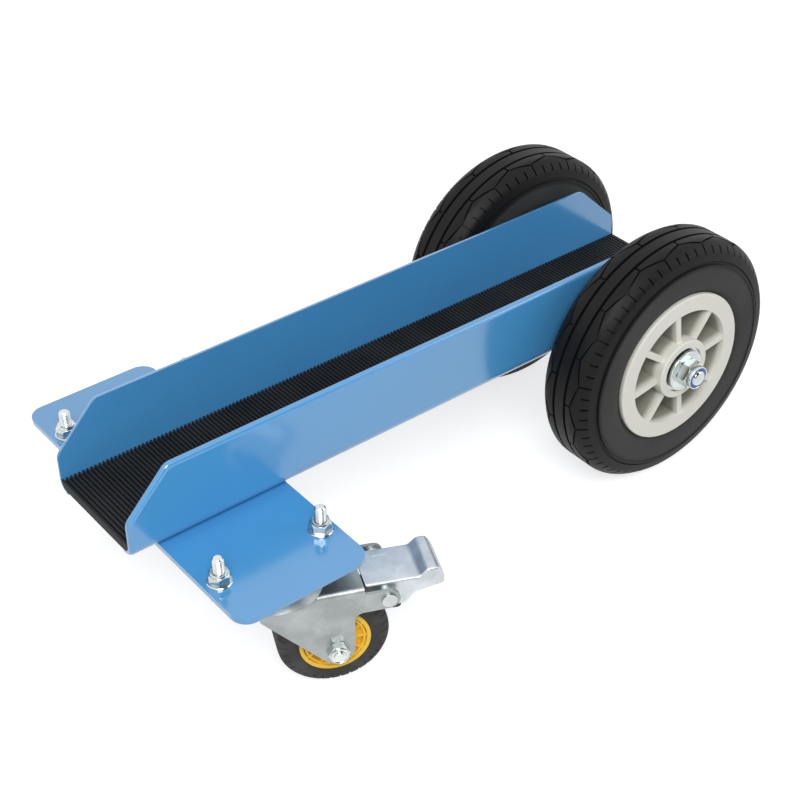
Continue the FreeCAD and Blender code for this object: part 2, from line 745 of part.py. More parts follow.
def make_caster_seat(side):
    """Fixed half of the swivel: seat plate, kingpin, its washer and its nut."""
    square = caster_place(side, turned=False)

    seat = new_body(f"{side}_caster_plate", **square)
    plan = new_sketch(seat, "XY_Plane", SEAT_UNDERSIDE)
    rectangle(plan, "-dim.seat_length / 2", "dim.seat_length / 2",
              "-dim.seat_width / 2", "dim.seat_width / 2", "dim.seat_corner")
    pad(seat, plan, "dim.seat_thickness")
    opening = new_sketch(seat, "XY_Plane", SEAT_UNDERSIDE)
    circle(opening, "0", "0", "dim.dish_radius")
    for x in ("-dim.bolt_spacing / 2", "dim.bolt_spacing / 2"):
        circle(opening, x, "0", BOLT_HOLE)
    pocket(seat, opening, "dim.seat_thickness", forwards=True)
    dish = new_sketch(seat, "XZ_Plane")
    dish_under = f"({DISH_FLOOR} - dim.seat_thickness)"
    outline(dish, [
        (KING_BORE, dish_under),
        ("dim.dish_radius", dish_under),
        ("dim.dish_radius + dim.dish_slope_run", SEAT_UNDERSIDE),
        ("dim.dish_radius + dim.dish_slope_run", CASTER_HEIGHT),
        ("dim.dish_radius", CASTER_HEIGHT),
        ("dim.dish_radius - dim.dish_slope_run / 2", DISH_FLOOR),
        (KING_BORE, DISH_FLOOR),
    ])
    revolve(seat, dish, "V_Axis")
    skirt = new_sketch(seat, "XZ_Plane")
    rectangle(skirt, "dim.skirt_radius - dim.skirt_thickness", "dim.skirt_radius",
              f"{SEAT_UNDERSIDE} - dim.skirt_depth", f"{SEAT_UNDERSIDE} + dim.fit_gap")
    revolve(seat, skirt, "V_Axis")

    pin = new_body(f"{side}_kingpin", **square)
    section = new_sketch(pin, "XZ_Plane")
    tip = f"({KING_NUT_TOP} - dim.kingpin_nut_height - dim.kingpin_tip)"
    outline(section, [
        ("0", tip),
        ("dim.kingpin_radius - dim.kingpin_tip / 2", tip),
        ("dim.kingpin_radius", f"{tip} + dim.kingpin_tip / 2"),
        ("dim.kingpin_radius", DISH_FLOOR),
        ("dim.kingpin_head_radius", DISH_FLOOR),
        ("dim.kingpin_head_radius", f"{DISH_FLOOR} + dim.kingpin_head_height / 2"),
        ("dim.kingpin_radius", f"{DISH_FLOOR} + dim.kingpin_head_height"),
        ("0", f"{DISH_FLOOR} + dim.kingpin_head_height"),
    ])
    revolve(pin, section, "V_Axis")

    washer = new_body(f"{side}_kingpin_washer", **square)
    ring = new_sketch(washer, "XY_Plane", KING_NUT_TOP)
    circle(ring, "0", "0", "dim.kingpin_washer_radius")
    circle(ring, "0", "0", KING_BORE)
    pad(washer, ring, "dim.kingpin_washer_thickness")

    nut = new_body(f"{side}_kingpin_nut", **square)
    hexed = new_sketch(nut, "XY_Plane", KING_NUT_TOP)
    hexagon(hexed, "0", "0", "dim.kingpin_nut_flats")
    circle(hexed, "0", "0", KING_BORE)
    pad(nut, hexed, "dim.kingpin_nut_height", backwards=True)


def make_fork(side):
    """Turning half of the swivel: pressed fork with its crown, and the balls on it."""
    place = caster_place(side, turned=True)

    fork = new_body(f"{side}_fork", **place)
    legs = new_sketch(fork, "XZ_Plane")
    leg_back = "(dim.caster_trail + dim.fork_boss_radius)"
    slope_foot = f"({CASTER_WHEEL_RADIUS} - dim.fork_boss_radius / tan(dim.fork_slant / 2))"
    slope_top = f"({WEB_TOP} - dim.fork_front_drop)"
    slope_front = f"({leg_back} - ({slope_top} - {slope_foot}) * tan(dim.fork_slant))"
    arm_end = "(dim.pedal_pivot_run + dim.arm_radius)"
    arm_low = f"({PIVOT_HEIGHT} - dim.arm_radius)"
    arm_high = f"({PIVOT_HEIGHT} + dim.arm_radius)"
    arm_round = "(dim.arm_radius - dim.fit_gap)"
    outline(legs, [
        ("-dim.fork_front", WEB_TOP),
        (slope_front, slope_top, "dim.fork_front_round"),
        (leg_back, slope_foot, "dim.fork_boss_radius"),
        (leg_back, arm_low, "dim.fork_inner_round"),
        (arm_end, arm_low, arm_round),
        (arm_end, arm_high, arm_round),
        ("dim.fork_back", arm_high, "dim.fork_sheet"),
        ("dim.fork_back", WEB_TOP),
    ])
    pad(fork, legs, "dim.fork_width", centred=True)
    top = number(WEB_TOP)
    dress(fork, "Fillet", lambda e, m: near(m.z, top) and straight_along(e, X_AXIS),
          "Radius", "dim.fork_fold")
    between = new_sketch(fork, "XZ_Plane")
    rectangle(between, "-dim.crown_rim_radius", f"{arm_end} + dim.arm_radius",
              "0", WEB_UNDERSIDE)
    pocket(fork, between, f"2 * {LEG_INSIDE}", centred=True)
    under_crown = new_sketch(fork, "XY_Plane", WEB_UNDERSIDE)
    circle(under_crown, "0", "0", f"{LEG_INSIDE} - dim.fork_sheet")
    pocket(fork, under_crown, "2 * dim.fork_sheet", forwards=True)

    crown = new_sketch(fork, "XZ_Plane")
    outline(crown, [
        (KING_BORE, CROWN_UNDERSIDE),
        (f"{LEG_INSIDE}", CROWN_UNDERSIDE, "dim.fork_sheet"),
        ("dim.crown_rim_radius - dim.fork_sheet", WEB_UNDERSIDE),
        ("dim.crown_rim_radius", WEB_UNDERSIDE),
        ("dim.crown_rim_radius", WEB_TOP, "dim.crown_rim_round"),
        ("dim.crown_top_radius", CROWN_TOP, "dim.crown_shoulder_round"),
        (KING_BORE, CROWN_TOP),
    ])
    revolve(fork, crown, "V_Axis")
    race = new_sketch(fork, "XZ_Plane")
    circle(race, "dim.ball_circle_radius", BALL_HEIGHT, "dim.ball_radius + dim.play")
    groove(fork, race, "V_Axis")
    holes = new_sketch(fork, "XZ_Plane")
    circle(holes, "dim.caster_trail", CASTER_WHEEL_RADIUS, CASTER_BORE)
    circle(holes, "dim.pedal_pivot_run", PIVOT_HEIGHT, PIN_BORE)
    pocket(fork, holes, "dim.fork_width", centred=True)

    balls = new_body(f"{side}_swivel_balls", **place)
    half_ball = new_sketch(balls, "XZ_Plane")
    low = f"({BALL_HEIGHT} - dim.ball_radius)"
    high = f"({BALL_HEIGHT} + dim.ball_radius)"
    start = V(number("dim.ball_circle_radius"), number(low), 0)
    end = V(number("dim.ball_circle_radius"), number(high), 0)
    centre = (start + end) / 2
    ball_form = Part.Circle(centre, V(0, 0, 1), number("dim.ball_radius"))
    arc = half_ball.addGeometry(Part.ArcOfCircle(ball_form, -math.pi / 2, math.pi / 2), False)
    line = half_ball.addGeometry(Part.LineSegment(end, start), False)
    half_ball.addConstraint(Sketcher.Constraint("Coincident", arc, 2, line, 1))
    half_ball.addConstraint(Sketcher.Constraint("Coincident", line, 2, arc, 1))
    half_ball.addConstraint(Sketcher.Constraint("PointOnObject", arc, 3, line))
    half_ball.addConstraint(Sketcher.Constraint("Vertical", line))
    bind(half_ball, "Radius", arc, None, "dim.ball_radius")
    bind(half_ball, "DistanceX", arc, 3, "dim.ball_circle_radius")
    bind(half_ball, "DistanceY", arc, 3, BALL_HEIGHT)
    ball = balls.newObject("PartDesign::Revolution", f"{balls.Label}_turned")
    ball.Profile = half_ball
    ball.ReferenceAxis = (half_ball, [f"Edge{line + 1}"])
    ball.Angle = 360
    polar(balls, ball, "Z_Axis", "dim.ball_count")


def make_caster_axle(side):
    """Bolt, nut and side spacers that carry the caster wheel between the fork legs."""
    place = caster_place(side, turned=True)

    bolt = new_body(f"{side}_caster_axle_bolt", **place)
    head = new_sketch(bolt, "XZ_Plane", f"-{LEG_OUTSIDE}")
    hexagon(head, "dim.caster_trail", CASTER_WHEEL_RADIUS, "dim.caster_bolt_flats")
    pad(bolt, head, "dim.caster_bolt_head_height", backwards=True)
    shank = new_sketch(bolt, "XZ_Plane", f"-{LEG_OUTSIDE}")
    circle(shank, "dim.caster_trail", CASTER_WHEEL_RADIUS, "dim.caster_bolt_radius")
    length = f"2 * {LEG_OUTSIDE} + dim.caster_nut_height + dim.caster_bolt_beyond_nut"
    pad(bolt, shank, length)
    tip = -number(f"{length} - {LEG_OUTSIDE}")
    dress(bolt, "Chamfer", lambda e, m: near(m.y, tip), "Size", "dim.caster_bolt_chamfer")

    nut = new_body(f"{side}_caster_axle_nut", **place)
    hexed = new_sketch(nut, "XZ_Plane", LEG_OUTSIDE)
    hexagon(hexed, "dim.caster_trail", CASTER_WHEEL_RADIUS, "dim.caster_bolt_flats")
    pad(nut, hexed, "dim.caster_nut_hex_height")
    collar = new_sketch(nut, "XZ_Plane", LEG_OUTSIDE)
    circle(collar, "dim.caster_trail", CASTER_WHEEL_RADIUS, "dim.caster_nut_collar_radius")
    pad(nut, collar, "dim.caster_nut_height")
    bore = new_sketch(nut, "XZ_Plane", LEG_OUTSIDE)
    circle(bore, "dim.caster_trail", CASTER_WHEEL_RADIUS, CASTER_BORE)
    pocket(nut, bore, "dim.caster_nut_height", forwards=True)

    spacers = new_body(f"{side}_caster_axle_spacers", **place)
    face = "(dim.caster_hub_half_width + dim.play)"
    ring = new_sketch(spacers, "XZ_Plane", face)
    circle(ring, "dim.caster_trail", CASTER_WHEEL_RADIUS, "dim.caster_spacer_radius")
    circle(ring, "dim.caster_trail", CASTER_WHEEL_RADIUS, CASTER_BORE)
    mirror(spacers, pad(spacers, ring, f"{LEG_INSIDE} - {face}"), "XZ_Plane")


def make_caster_wheel(side):
    """Caster wheel: tyre, ribbed hub, two bearings and the spacer between them."""
    sign = SIDE_SIGN[side]
    heading = f"({sign} * dim.caster_heading)"
    place = {
        "x": f"{PLATE_X} + dim.caster_trail * cos({heading})",
        "y": f"{sign} * {CASTER_OFFSET} + dim.caster_trail * sin({heading})",
        "z": CASTER_WHEEL_RADIUS,
        "yaw": sign * number("dim.caster_heading"),
    }

    tyre = new_body(f"{side}_caster_tyre", **place)
    section = new_sketch(tyre, "YZ_Plane")
    seat = "(dim.caster_rim_radius + dim.fit_gap)"
    outline(section, [
        ("-dim.caster_tyre_half_width", seat),
        ("dim.caster_tyre_half_width", seat),
        ("dim.caster_tyre_half_width", CASTER_WHEEL_RADIUS, "dim.caster_tyre_round"),
        ("-dim.caster_tyre_half_width", CASTER_WHEEL_RADIUS, "dim.caster_tyre_round"),
    ])
    revolve(tyre, section, "H_Axis")

    hub = new_body(f"{side}_caster_hub", **place)
    turned = new_sketch(hub, "YZ_Plane")
    rim_inside = "(dim.caster_rim_radius - dim.caster_rim_wall)"
    seat_depth = "(dim.caster_hub_half_width - dim.caster_bearing_width)"
    half = [
        (seat_depth, "dim.caster_bearing_shoulder"),
        (seat_depth, "dim.caster_bearing_radius"),
        ("dim.caster_hub_half_width", "dim.caster_bearing_radius"),
        ("dim.caster_hub_half_width", "dim.caster_boss_radius"),
        ("dim.caster_web_half_thickness", "dim.caster_boss_radius"),
        ("dim.caster_web_half_thickness", rim_inside),
        ("dim.caster_hub_half_width", rim_inside),
        ("dim.caster_hub_half_width", "dim.caster_rim_radius"),
    ]
    other = [(f"-{corner[0]}", *corner[1:]) for corner in reversed(half)]
    outline(turned, half + other)
    revolve(hub, turned, "H_Axis")
    rib = new_sketch(hub, "XZ_Plane")
    rectangle(rib, "(dim.caster_bearing_radius + dim.caster_boss_radius) / 2",
              "dim.caster_rim_radius - dim.caster_rim_wall / 2",
              "-dim.caster_rib_width / 2", "dim.caster_rib_width / 2")
    width = "2 * (dim.caster_hub_half_width - dim.caster_rib_setback)"
    polar(hub, pad(hub, rib, width, centred=True), "Y_Axis", "dim.caster_rib_count")

    ring_pair(f"{side}_caster_bearings", place, seat_depth, "dim.caster_bearing_width",
              "dim.caster_bearing_radius - dim.fit_gap", CASTER_BORE,
              ("dim.caster_race_inner", "dim.caster_race_outer"))

    spacer = new_body(f"{side}_caster_wheel_spacer", **place)
    ring = new_sketch(spacer, "XZ_Plane")
    circle(ring, "0", "0", "dim.caster_spacer_radius")
    circle(ring, "0", "0", CASTER_BORE)
    pad(spacer, ring, f"2 * ({seat_depth} - dim.fit_gap)", centred=True)


def at_pedal(run, rise):
    """Point given from the pedal's pivot, as a corner in the caster's own plane."""
    return f"dim.pedal_pivot_run + ({run})", f"{PIVOT_HEIGHT} + ({rise})"


def make_pedal(side):
    """Foot pedal pressed from sheet, its pivot pin, and the brake shoe inside it."""
    place = caster_place(side, turned=True)

    pedal = new_body(f"{side}_brake_pedal", **place)
    form = new_sketch(pedal, "XZ_Plane")
    soft = "dim.pedal_bend"
    top = "dim.pedal_top"
    valley = "dim.pedal_top - dim.pedal_valley_drop"
    outline(form, [
        at_pedal("-dim.pedal_tail", top),
        (*at_pedal("-dim.pedal_tail", "-dim.pedal_tail_drop"), soft),
        (*at_pedal("dim.pedal_heel_run", "-dim.pedal_lobe_drop"), soft),
        (*at_pedal("dim.pedal_lobe_run", "-dim.pedal_lobe_drop"), soft),
        (*at_pedal("dim.pedal_throat_run", "-dim.pedal_throat_drop"), soft),
        (*at_pedal("dim.pedal_reach", "-dim.pedal_lip_drop"), "dim.pedal_sheet"),
        (*at_pedal("dim.pedal_reach", "dim.pedal_nose_rise"), soft),
        (*at_pedal("dim.pedal_nose_run", "dim.pedal_ridge_rise"), soft),
        (*at_pedal("dim.pedal_ridge_run", "dim.pedal_ridge_rise"), soft),
        (*at_pedal("dim.pedal_valley_run", valley), soft),
    ])
    pad(pedal, form, "dim.pedal_width", centred=True)
    flank, above, front = (number(size) for size in (
        "dim.pedal_width / 2", PIVOT_HEIGHT, "dim.pedal_pivot_run - dim.pedal_tail / 2"))
    dress(pedal, "Fillet", lambda e, m: near(abs(m.y), flank) and m.z > above and m.x > front,
          "Radius", "dim.pedal_edge_round")
    hollow = new_sketch(pedal, "XZ_Plane")
    sheet_in = "dim.pedal_sheet"
    beyond = "2 * dim.pedal_lobe_drop"
    outline(hollow, [
        at_pedal("-2 * dim.pedal_tail", f"-{beyond}"),
        at_pedal(f"dim.pedal_reach - {sheet_in}", f"-{beyond}"),
        at_pedal(f"dim.pedal_reach - {sheet_in}", f"dim.pedal_nose_rise - {sheet_in} / 2"),
        (*at_pedal("dim.pedal_nose_run - dim.pedal_sheet", f"dim.pedal_ridge_rise - {sheet_in}"),
         sheet_in),
        (*at_pedal("dim.pedal_ridge_run + dim.pedal_slope_shift", f"dim.pedal_ridge_rise - {sheet_in}"),
         sheet_in),
        (*at_pedal("dim.pedal_valley_run + dim.pedal_slope_shift", f"{valley} - {sheet_in}"), soft),
        at_pedal("-2 * dim.pedal_tail", f"{top} - {sheet_in}"),
    ])
    pocket(pedal, hollow, "dim.pedal_width - 2 * dim.pedal_sheet", centred=True)
    recess = new_sketch(pedal, "XY_Plane", f"{PIVOT_HEIGHT} + dim.pedal_top")
    rectangle(recess, "dim.pedal_pivot_run + dim.pedal_recess_start",
              "dim.pedal_pivot_run + dim.pedal_recess_end",
              "-dim.pedal_recess_half_width", "dim.pedal_recess_half_width",
              "dim.pedal_sheet")
    pocket(pedal, recess, "dim.pedal_recess_depth")
    pivot = at_pedal("0", "0")
    for backwards in (False, True):
        face = "dim.pedal_width / 2 - dim.pedal_sheet"
        offset = f"-({face})" if backwards else face
        collar = new_sketch(pedal, "XZ_Plane", offset)
        circle(collar, *pivot, "dim.pedal_collar_radius")
        pad(pedal, collar, f"{LEG_INSIDE} - dim.play - ({face})", backwards=backwards)
    bore = new_sketch(pedal, "XZ_Plane")
    circle(bore, *pivot, PIN_BORE)
    pocket(pedal, bore, "dim.fork_width", centred=True)

    shoe = new_body(f"{side}_brake_shoe", **place)
    block = new_sketch(shoe, "XZ_Plane")
    ceiling = "dim.pedal_top - dim.pedal_sheet - dim.fit_gap - dim.pedal_valley_drop"
    outline(block, [
        at_pedal("-dim.shoe_back", ceiling),
        (*at_pedal("-dim.shoe_back", "-dim.shoe_heel_drop"), "dim.shoe_nose_radius"),
        (*at_pedal("dim.shoe_nose_back", "-dim.shoe_nose_drop"), "dim.shoe_nose_radius"),
        (*at_pedal("dim.shoe_nose_front", "-dim.shoe_nose_drop"), "dim.shoe_nose_radius"),
        at_pedal("dim.shoe_front", ceiling),
    ])
    inside = "dim.pedal_width - 2 * (dim.pedal_sheet + dim.fit_gap)"
    pad(shoe, block, inside, centred=True)
    pin_hole = new_sketch(shoe, "XZ_Plane")
    circle(pin_hole, *pivot, PIN_BORE)
    pocket(shoe, pin_hole, inside, centred=True)

    pin = new_body(f"{side}_pedal_pin", **place)
    rod = new_sketch(pin, "XZ_Plane")
    circle(rod, *pivot, "dim.pedal_pin_radius")
    pad(pin, rod, "dim.fork_width", centred=True)
    head = new_sketch(pin, "XZ_Plane", LEG_OUTSIDE)
    circle(head, *pivot, "dim.pedal_pin_head_radius")
    mirror(pin, pad(pin, head, "dim.pedal_pin_head_height"), "XZ_Plane")


def check_and_write():
    """Every object sound, every sub-part a valid solid, then one STEP file each."""
    doc.recompute()
    for item in doc.Objects:
        if {"Invalid", "Error"} & set(item.State):
            raise RuntimeError(f"{item.Label} failed: {item.State}")
    for body in PARTS:
        shape = body.Shape
        if shape.isNull() or not shape.isValid() or shape.Volume <= 0:
            raise RuntimeError(f"{body.Label} has no valid solid")
    os.makedirs("parts", exist_ok=True)
    for body in PARTS:
        body.Shape.exportStep(os.path.join("parts", f"{body.Label}.step"))
        print(f"{body.Label}: {len(body.Shape.Solids)} solids, {body.Shape.Volume / 1000:.2f} cm3")


make_channel()
make_mat()
make_cross_plate()
make_caster_bolts()
make_axle()
for side in (RIGHT, LEFT):
    make_wheel(side)
    make_caster_seat(side)
    make_fork(side)
    make_caster_axle(side)
    make_caster_wheel(side)
    make_pedal(side)
check_and_write()
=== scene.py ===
import bisect
import math

import bmesh
import bpy
from bpy.props import FloatProperty, FloatVectorProperty, IntProperty, PointerProperty
from mathutils import Euler, Matrix, Vector


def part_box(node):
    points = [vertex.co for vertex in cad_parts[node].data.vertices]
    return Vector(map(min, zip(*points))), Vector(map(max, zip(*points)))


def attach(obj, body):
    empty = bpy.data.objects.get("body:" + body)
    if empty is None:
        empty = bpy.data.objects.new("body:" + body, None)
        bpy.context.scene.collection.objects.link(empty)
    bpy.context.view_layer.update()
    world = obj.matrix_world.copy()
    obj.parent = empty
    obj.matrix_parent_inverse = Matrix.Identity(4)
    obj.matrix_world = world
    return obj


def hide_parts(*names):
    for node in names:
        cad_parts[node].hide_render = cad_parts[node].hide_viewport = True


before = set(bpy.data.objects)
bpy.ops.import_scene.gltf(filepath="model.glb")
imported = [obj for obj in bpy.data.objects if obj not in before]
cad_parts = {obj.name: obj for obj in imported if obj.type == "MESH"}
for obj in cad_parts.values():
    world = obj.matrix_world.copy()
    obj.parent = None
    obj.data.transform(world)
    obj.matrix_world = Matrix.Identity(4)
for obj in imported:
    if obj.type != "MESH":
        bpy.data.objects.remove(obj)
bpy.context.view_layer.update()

bl_info = {
    "name": "Door dolly",
    "version": (1, 0, 0),
    "blender": (4, 5, 0),
    "location": "View3D > Sidebar > Dolly",
    "description": "Dresses a door dolly: channel, mat, large wheels and braked casters",
    "category": "Add Mesh",
}

SIDES = {"right": -1, "left": 1}
FULL_TURN = 2 * math.pi

NUT_STEPS, RING_STEPS, SWELL_STEPS, THREAD_STEPS = 72, 64, 48, 28
THREAD_ROWS = 8
ROLLS_PER_COLLAR = 24
WALLS_PER_TRENCH = 6
GROOVE_LINES = (-0.5, -0.33, 0.33, 0.5)
THIRDS = (0.33, 0.67)
SLOT_LINES = (0, 0.1, 0.35, 0.65, 0.9, 1)
CREASE_EDGE, CREASE_GROOVE, CREASE_BEAD = 1.6, (-0.7, 0.3), (0.5, 1.5)
CREASE_LINES = (-1.6, -1, -0.65, 0.25, 0.6, 1, 1.4, 1.6)
WALL_LINES = (0.15, 0.3, 0.4, 0.5, 0.6, 0.7, 0.78, 0.85, 1)
NOTCH_LINES = (0, 0.05, 0.3, 0.35, 0.6, 0.8, 0.95, 1)
CAMERA_AZIMUTH, CAMERA_ELEVATION, CAMERA_ROLL = -38.42, 36.55, -0.2


def colour(label, about, default):
    """Colour property with its own default."""
    return FloatVectorProperty(name=label, description=about, default=default, size=3,
                               min=0, max=1, subtype="COLOR")


def length(label, about, millimetres):
    """Length property, whose default is given in millimetres."""
    return FloatProperty(name=label, description=about, default=millimetres / 1000,
                         min=0, unit="LENGTH", precision=4)


def position(label, about, default):
    """Place in the scene as a property."""
    return FloatVectorProperty(name=label, description=about, default=default, size=3,
                               subtype="XYZ", unit="LENGTH")


class DollyColours(bpy.types.PropertyGroup):
    """Colours of the dolly's finishes."""
    paint: colour("Paint", "Powder coat of the channel and the cross plate", (0.068, 0.305, 0.62))
    mat: colour("Mat", "Ribbed rubber mat", (0.012, 0.013, 0.014))
    tyre: colour("Tyre", "Rubber of the large tyres", (0.006, 0.006, 0.0062))
    # Paler wall rubber, lifted further as painted sheen.
    tyre_wall_and_sheen: colour("Tyre wall", "Paler rubber and painted sheen on the large tyres' walls", (0.045, 0.046, 0.045))
    caster_tyre: colour("Caster tyre", "Rubber of the caster tyres", (0.052, 0.052, 0.051))
    hub: colour("Hub", "Moulded hub of the large wheels", (0.74, 0.74, 0.67))
    # Colour of the painted shade in the large hubs' recesses.
    hub_recess_shade: colour("Hub recess", "Painted shade in the depths of the large hubs", (0.22, 0.22, 0.175))
    caster_hub: colour("Caster hub", "Moulded hub of the caster wheels", (0.90, 0.56, 0.035))
    zinc: colour("Zinc", "Zinc plate of the forks and fasteners", (0.41, 0.44, 0.435))
    pedal: colour("Pedal zinc", "Zinc plate of the foot pedals", (0.62, 0.66, 0.69))
    steel: colour("Steel", "Ground steel of the bearings", (0.6, 0.6, 0.6))
    nylon: colour("Nylon", "Insert of the axle's lock nuts", (0.02, 0.09, 0.42))
    shoe: colour("Brake shoe", "Moulded brake shoe", (0.012, 0.012, 0.012))


class DollyTyreSizes(bpy.types.PropertyGroup):
    """Sizes of the large tyres' section and tread, and of the caster tyres' notches."""
    tread_half: length("Half tread", "From the middle to the tread's edge", 14)
    shoulder_half: length("Half shoulder", "From the middle to the shoulder and to the bead", 22)
    shoulder_drop: length("Shoulder drop", "From the tread down to the shoulder", 6.5)
    wall_drop: length("Wall drop", "From the tread down to the widest place", 18.5)
    foot_drop: length("Foot drop", "From the tread down to the wall's foot", 35)
    bead_drop: length("Bead drop", "From the tread down to the bead's outer edge", 39)
    seat_drop: length("Seat drop", "From the tread down to the seat on the hub", 44.95)
    edge_round: length("Tread edge round", "Rounding of the tread's and shoulder's edges", 8)
    wall_round: length("Wall round", "Rounding of the wall's ends", 5)
    blocks: IntProperty(name="Blocks", description="Tread blocks round one side",
                        default=16, min=6)
    groove_offset: length("Groove offset", "From the middle to a round groove", 5.5)
    groove_width: length("Groove width", "Width of a round groove", 2.4)
    groove_depth: length("Groove depth", "Depth of a round groove", 3.0)
    zigzag_offset: length("Zigzag offset", "From the middle to the zigzag groove", 13.5)
    zigzag_swing: length("Zigzag swing", "How far the zigzag groove swings to a side", 2.6)
    cross_width: length("Cross groove width", "Width of the zigzag, cross grooves and slots", 1.5)
    cross_depth: length("Cross groove depth", "Depth of the zigzag and cross grooves", 1.7)
    sipe_start: length("Slot start", "From the middle to a shoulder slot", 19)
    sipe_end: length("Slot end", "From the middle to the far end of a shoulder slot", 25.5)
    crease_offset: length("Crease offset", "From the middle, over the shoulder, to the crease", 33)
    # The walls' paler colour, painted sheen included, fades out between these two radii.
    wall_top: length("Wall top", "Radius at which the wall's paler rubber and painted sheen begin to fade", 78)
    tread_foot: length("Tread foot", "Radius at which the wall's paler rubber and painted sheen have gone", 83)
    crease_depth: length("Crease depth", "Depth of the crease and height of its bead", 0.8)
    caster_half: length("Half caster tyre", "From the middle of a caster tyre to its wall", 15)
    caster_seat: length("Caster tyre seat", "Radius of the seat on the hub", 24.25)
    caster_round: length("Caster tyre round", "Rounding of a caster tyre's edges", 6)
    notches: IntProperty(name="Notches", description="Notches round a caster tyre",
                         default=34, min=6)
    notch_start: length("Notch start", "From the middle to a notch", 7.5)
    notch_end: length("Notch end", "From the middle to the far end of a notch", 19)
    notch_width: length("Notch width", "Width of a caster tyre's notches", 1.1)
    notch_depth: length("Notch depth", "Depth of a caster tyre's notches", 0.7)


class DollyReliefSizes(bpy.types.PropertyGroup):
    """Sizes of the raised rings and the swelling on the casters."""
    ring_inside: length("Ring inside", "Inner radius of the ring on a caster hub", 19.2)
    ring_outside: length("Ring outside", "Outer radius of the ring on a caster hub", 20.9)
    ring_foot: length("Ring foot", "From the middle of a caster hub to the ring's foot", 11.9)
    ring_top: length("Ring top", "From the middle of a caster hub to the ring's top", 16)
    swell_radius: length("Swelling radius", "Round swelling on a fork leg", 9)
    swell_rise: length("Swelling rise", "How far the swelling stands out of the leg", 0.7)
    swell_back: length("Swelling back", "From the axle back to the swelling's middle", 7.5)
    swell_up: length("Swelling up", "From the axle up to the swelling's middle", 18)


class DollyFixingSizes(bpy.types.PropertyGroup):
    """Sizes of the bolts, nuts and threads."""
    bolt_radius: length("Bolt radius", "Caster bolts", 4)
    bolt_pitch: length("Bolt pitch", "Thread pitch of the caster bolts", 1.25)
    bolt_flats: length("Bolt flats", "Caster bolts and nuts, across the flats", 13)
    bolt_hex: length("Bolt nut hexagon", "Height of a caster nut's hexagon", 5.8)
    bolt_collar: length("Bolt nut collar", "Radius of a caster nut's collar", 5.9)
    washer_hole: length("Washer hole", "Radius of the hole in a caster bolt's washer", 4.4)
    seat: length("Seat thickness", "Caster plate between bolt head and cross plate", 3)
    axle_radius: length("Axle radius", "Axle of the large wheels", 6)
    axle_pitch: length("Axle pitch", "Thread pitch of the wheel axle", 1.75)
    axle_flats: length("Axle nut flats", "Axle nuts, across the flats", 19)
    axle_hex: length("Axle nut hexagon", "Height of an axle nut's hexagon", 8)
    axle_collar: length("Axle nut collar", "Radius of an axle nut's collar", 9.2)
    pin_radius: length("Caster axle radius", "Axle bolts of the casters", 4)
    pin_pitch: length("Caster axle pitch", "Thread pitch of the casters' axle bolts", 1.25)
    pin_flats: length("Caster axle flats", "Casters' axle bolts and nuts, across the flats", 13)
    pin_head: length("Caster axle head", "Height of its hexagon head", 5.3)
    pin_hex: length("Caster axle nut hexagon", "Height of its nut's hexagon", 5)
    pin_nut: length("Caster axle nut", "Height of its nut", 7)
    pin_collar: length("Caster axle nut collar", "Radius of its nut's collar", 6.2)
    pin_beyond: length("Caster axle end", "How far it stands out of its nut", 1)
    fork_half: length("Half fork width", "From a caster's middle to a fork leg's outer face", 24)
    gap: length("Running gap", "Between a thread and the bore round it", 0.05)
    thread_depth: length("Thread depth", "How deep a thread is cut", 0.6)
    slope: FloatProperty(name="Nut chamfer", description="Slope of a nut's corners",
                         default=math.radians(30), subtype="ANGLE")


class DollyStageSettings(bpy.types.PropertyGroup):
    """Floor, lamps, dark card and camera."""
    floor: colour("Floor", "Floor and backdrop", (0.55, 0.55, 0.55))
    floor_half: length("Half floor", "From the floor's middle to its edge", 9000)
    floor_drop: length("Floor drop", "From the wheels' feet down to the floor", 0.4)
    floor_glow: FloatProperty(name="Floor glow", description="Added to the floor as it is seen",
                              default=0.72, min=0)
    sky: FloatProperty(name="Sky light", description="Light from all round", default=0.34, min=0)
    backdrop: FloatProperty(name="Backdrop", description="Brightness of the sky as it is seen",
                            default=1.3, min=0)
    key: FloatProperty(name="Key light", description="Power of the large lamp, in watts",
                       default=38, min=0)
    fill: FloatProperty(name="Fill light", description="Power of the side lamp, in watts",
                        default=7, min=0)
    flag: colour("Flag", "Dark card that metal reflects", (0.03, 0.03, 0.035))
    key_spot: position("Key spot", "Middle of the large lamp", (-0.95, -1.25, 1.8))
    fill_spot: position("Fill spot", "Middle of the side lamp", (1.6, -1.6, 1.2))
    flag_spot: position("Flag spot", "Middle of the dark card", (-0.4, -2.4, 1.7))
    camera_spot: position("Camera spot", "Where the camera stands", (-0.60418, -0.74387, 0.7952))
    lamp_aim: position("Lamp aim", "Where both lamps point", (0, 0, 0.1))
    lens: FloatProperty(name="Lens", description="Focal length, in millimetres", default=72.48,
                        min=1)


class Reading:
    """Number that varies over a surface; arithmetic on it adds Math nodes."""

    def __init__(self, finish, socket):
        self.finish = finish
        self.socket = socket

    def maths(self, operation, *terms):
        node = self.finish.node("ShaderNodeMath", {"operation": operation},
                                dict(enumerate(terms)))
        return Reading(self.finish, node.outputs[0])

    def __add__(self, other):
        return self.maths("ADD", self, other)

    def __radd__(self, other):
        return self.maths("ADD", other, self)

    def __sub__(self, other):
        return self.maths("SUBTRACT", self, other)

    def __rsub__(self, other):
        return self.maths("SUBTRACT", other, self)

    def __mul__(self, other):
        return self.maths("MULTIPLY", self, other)

    def __abs__(self):
        return self.maths("ABSOLUTE", self)

    def between(self, low, high):
        """0 at low, 1 at high, and smooth between them."""
        node = self.finish.node("ShaderNodeMapRange", {"interpolation_type": "SMOOTHSTEP"},
                                {"Value": self, "From Min": low, "From Max": high})
        return Reading(self.finish, node.outputs["Result"])


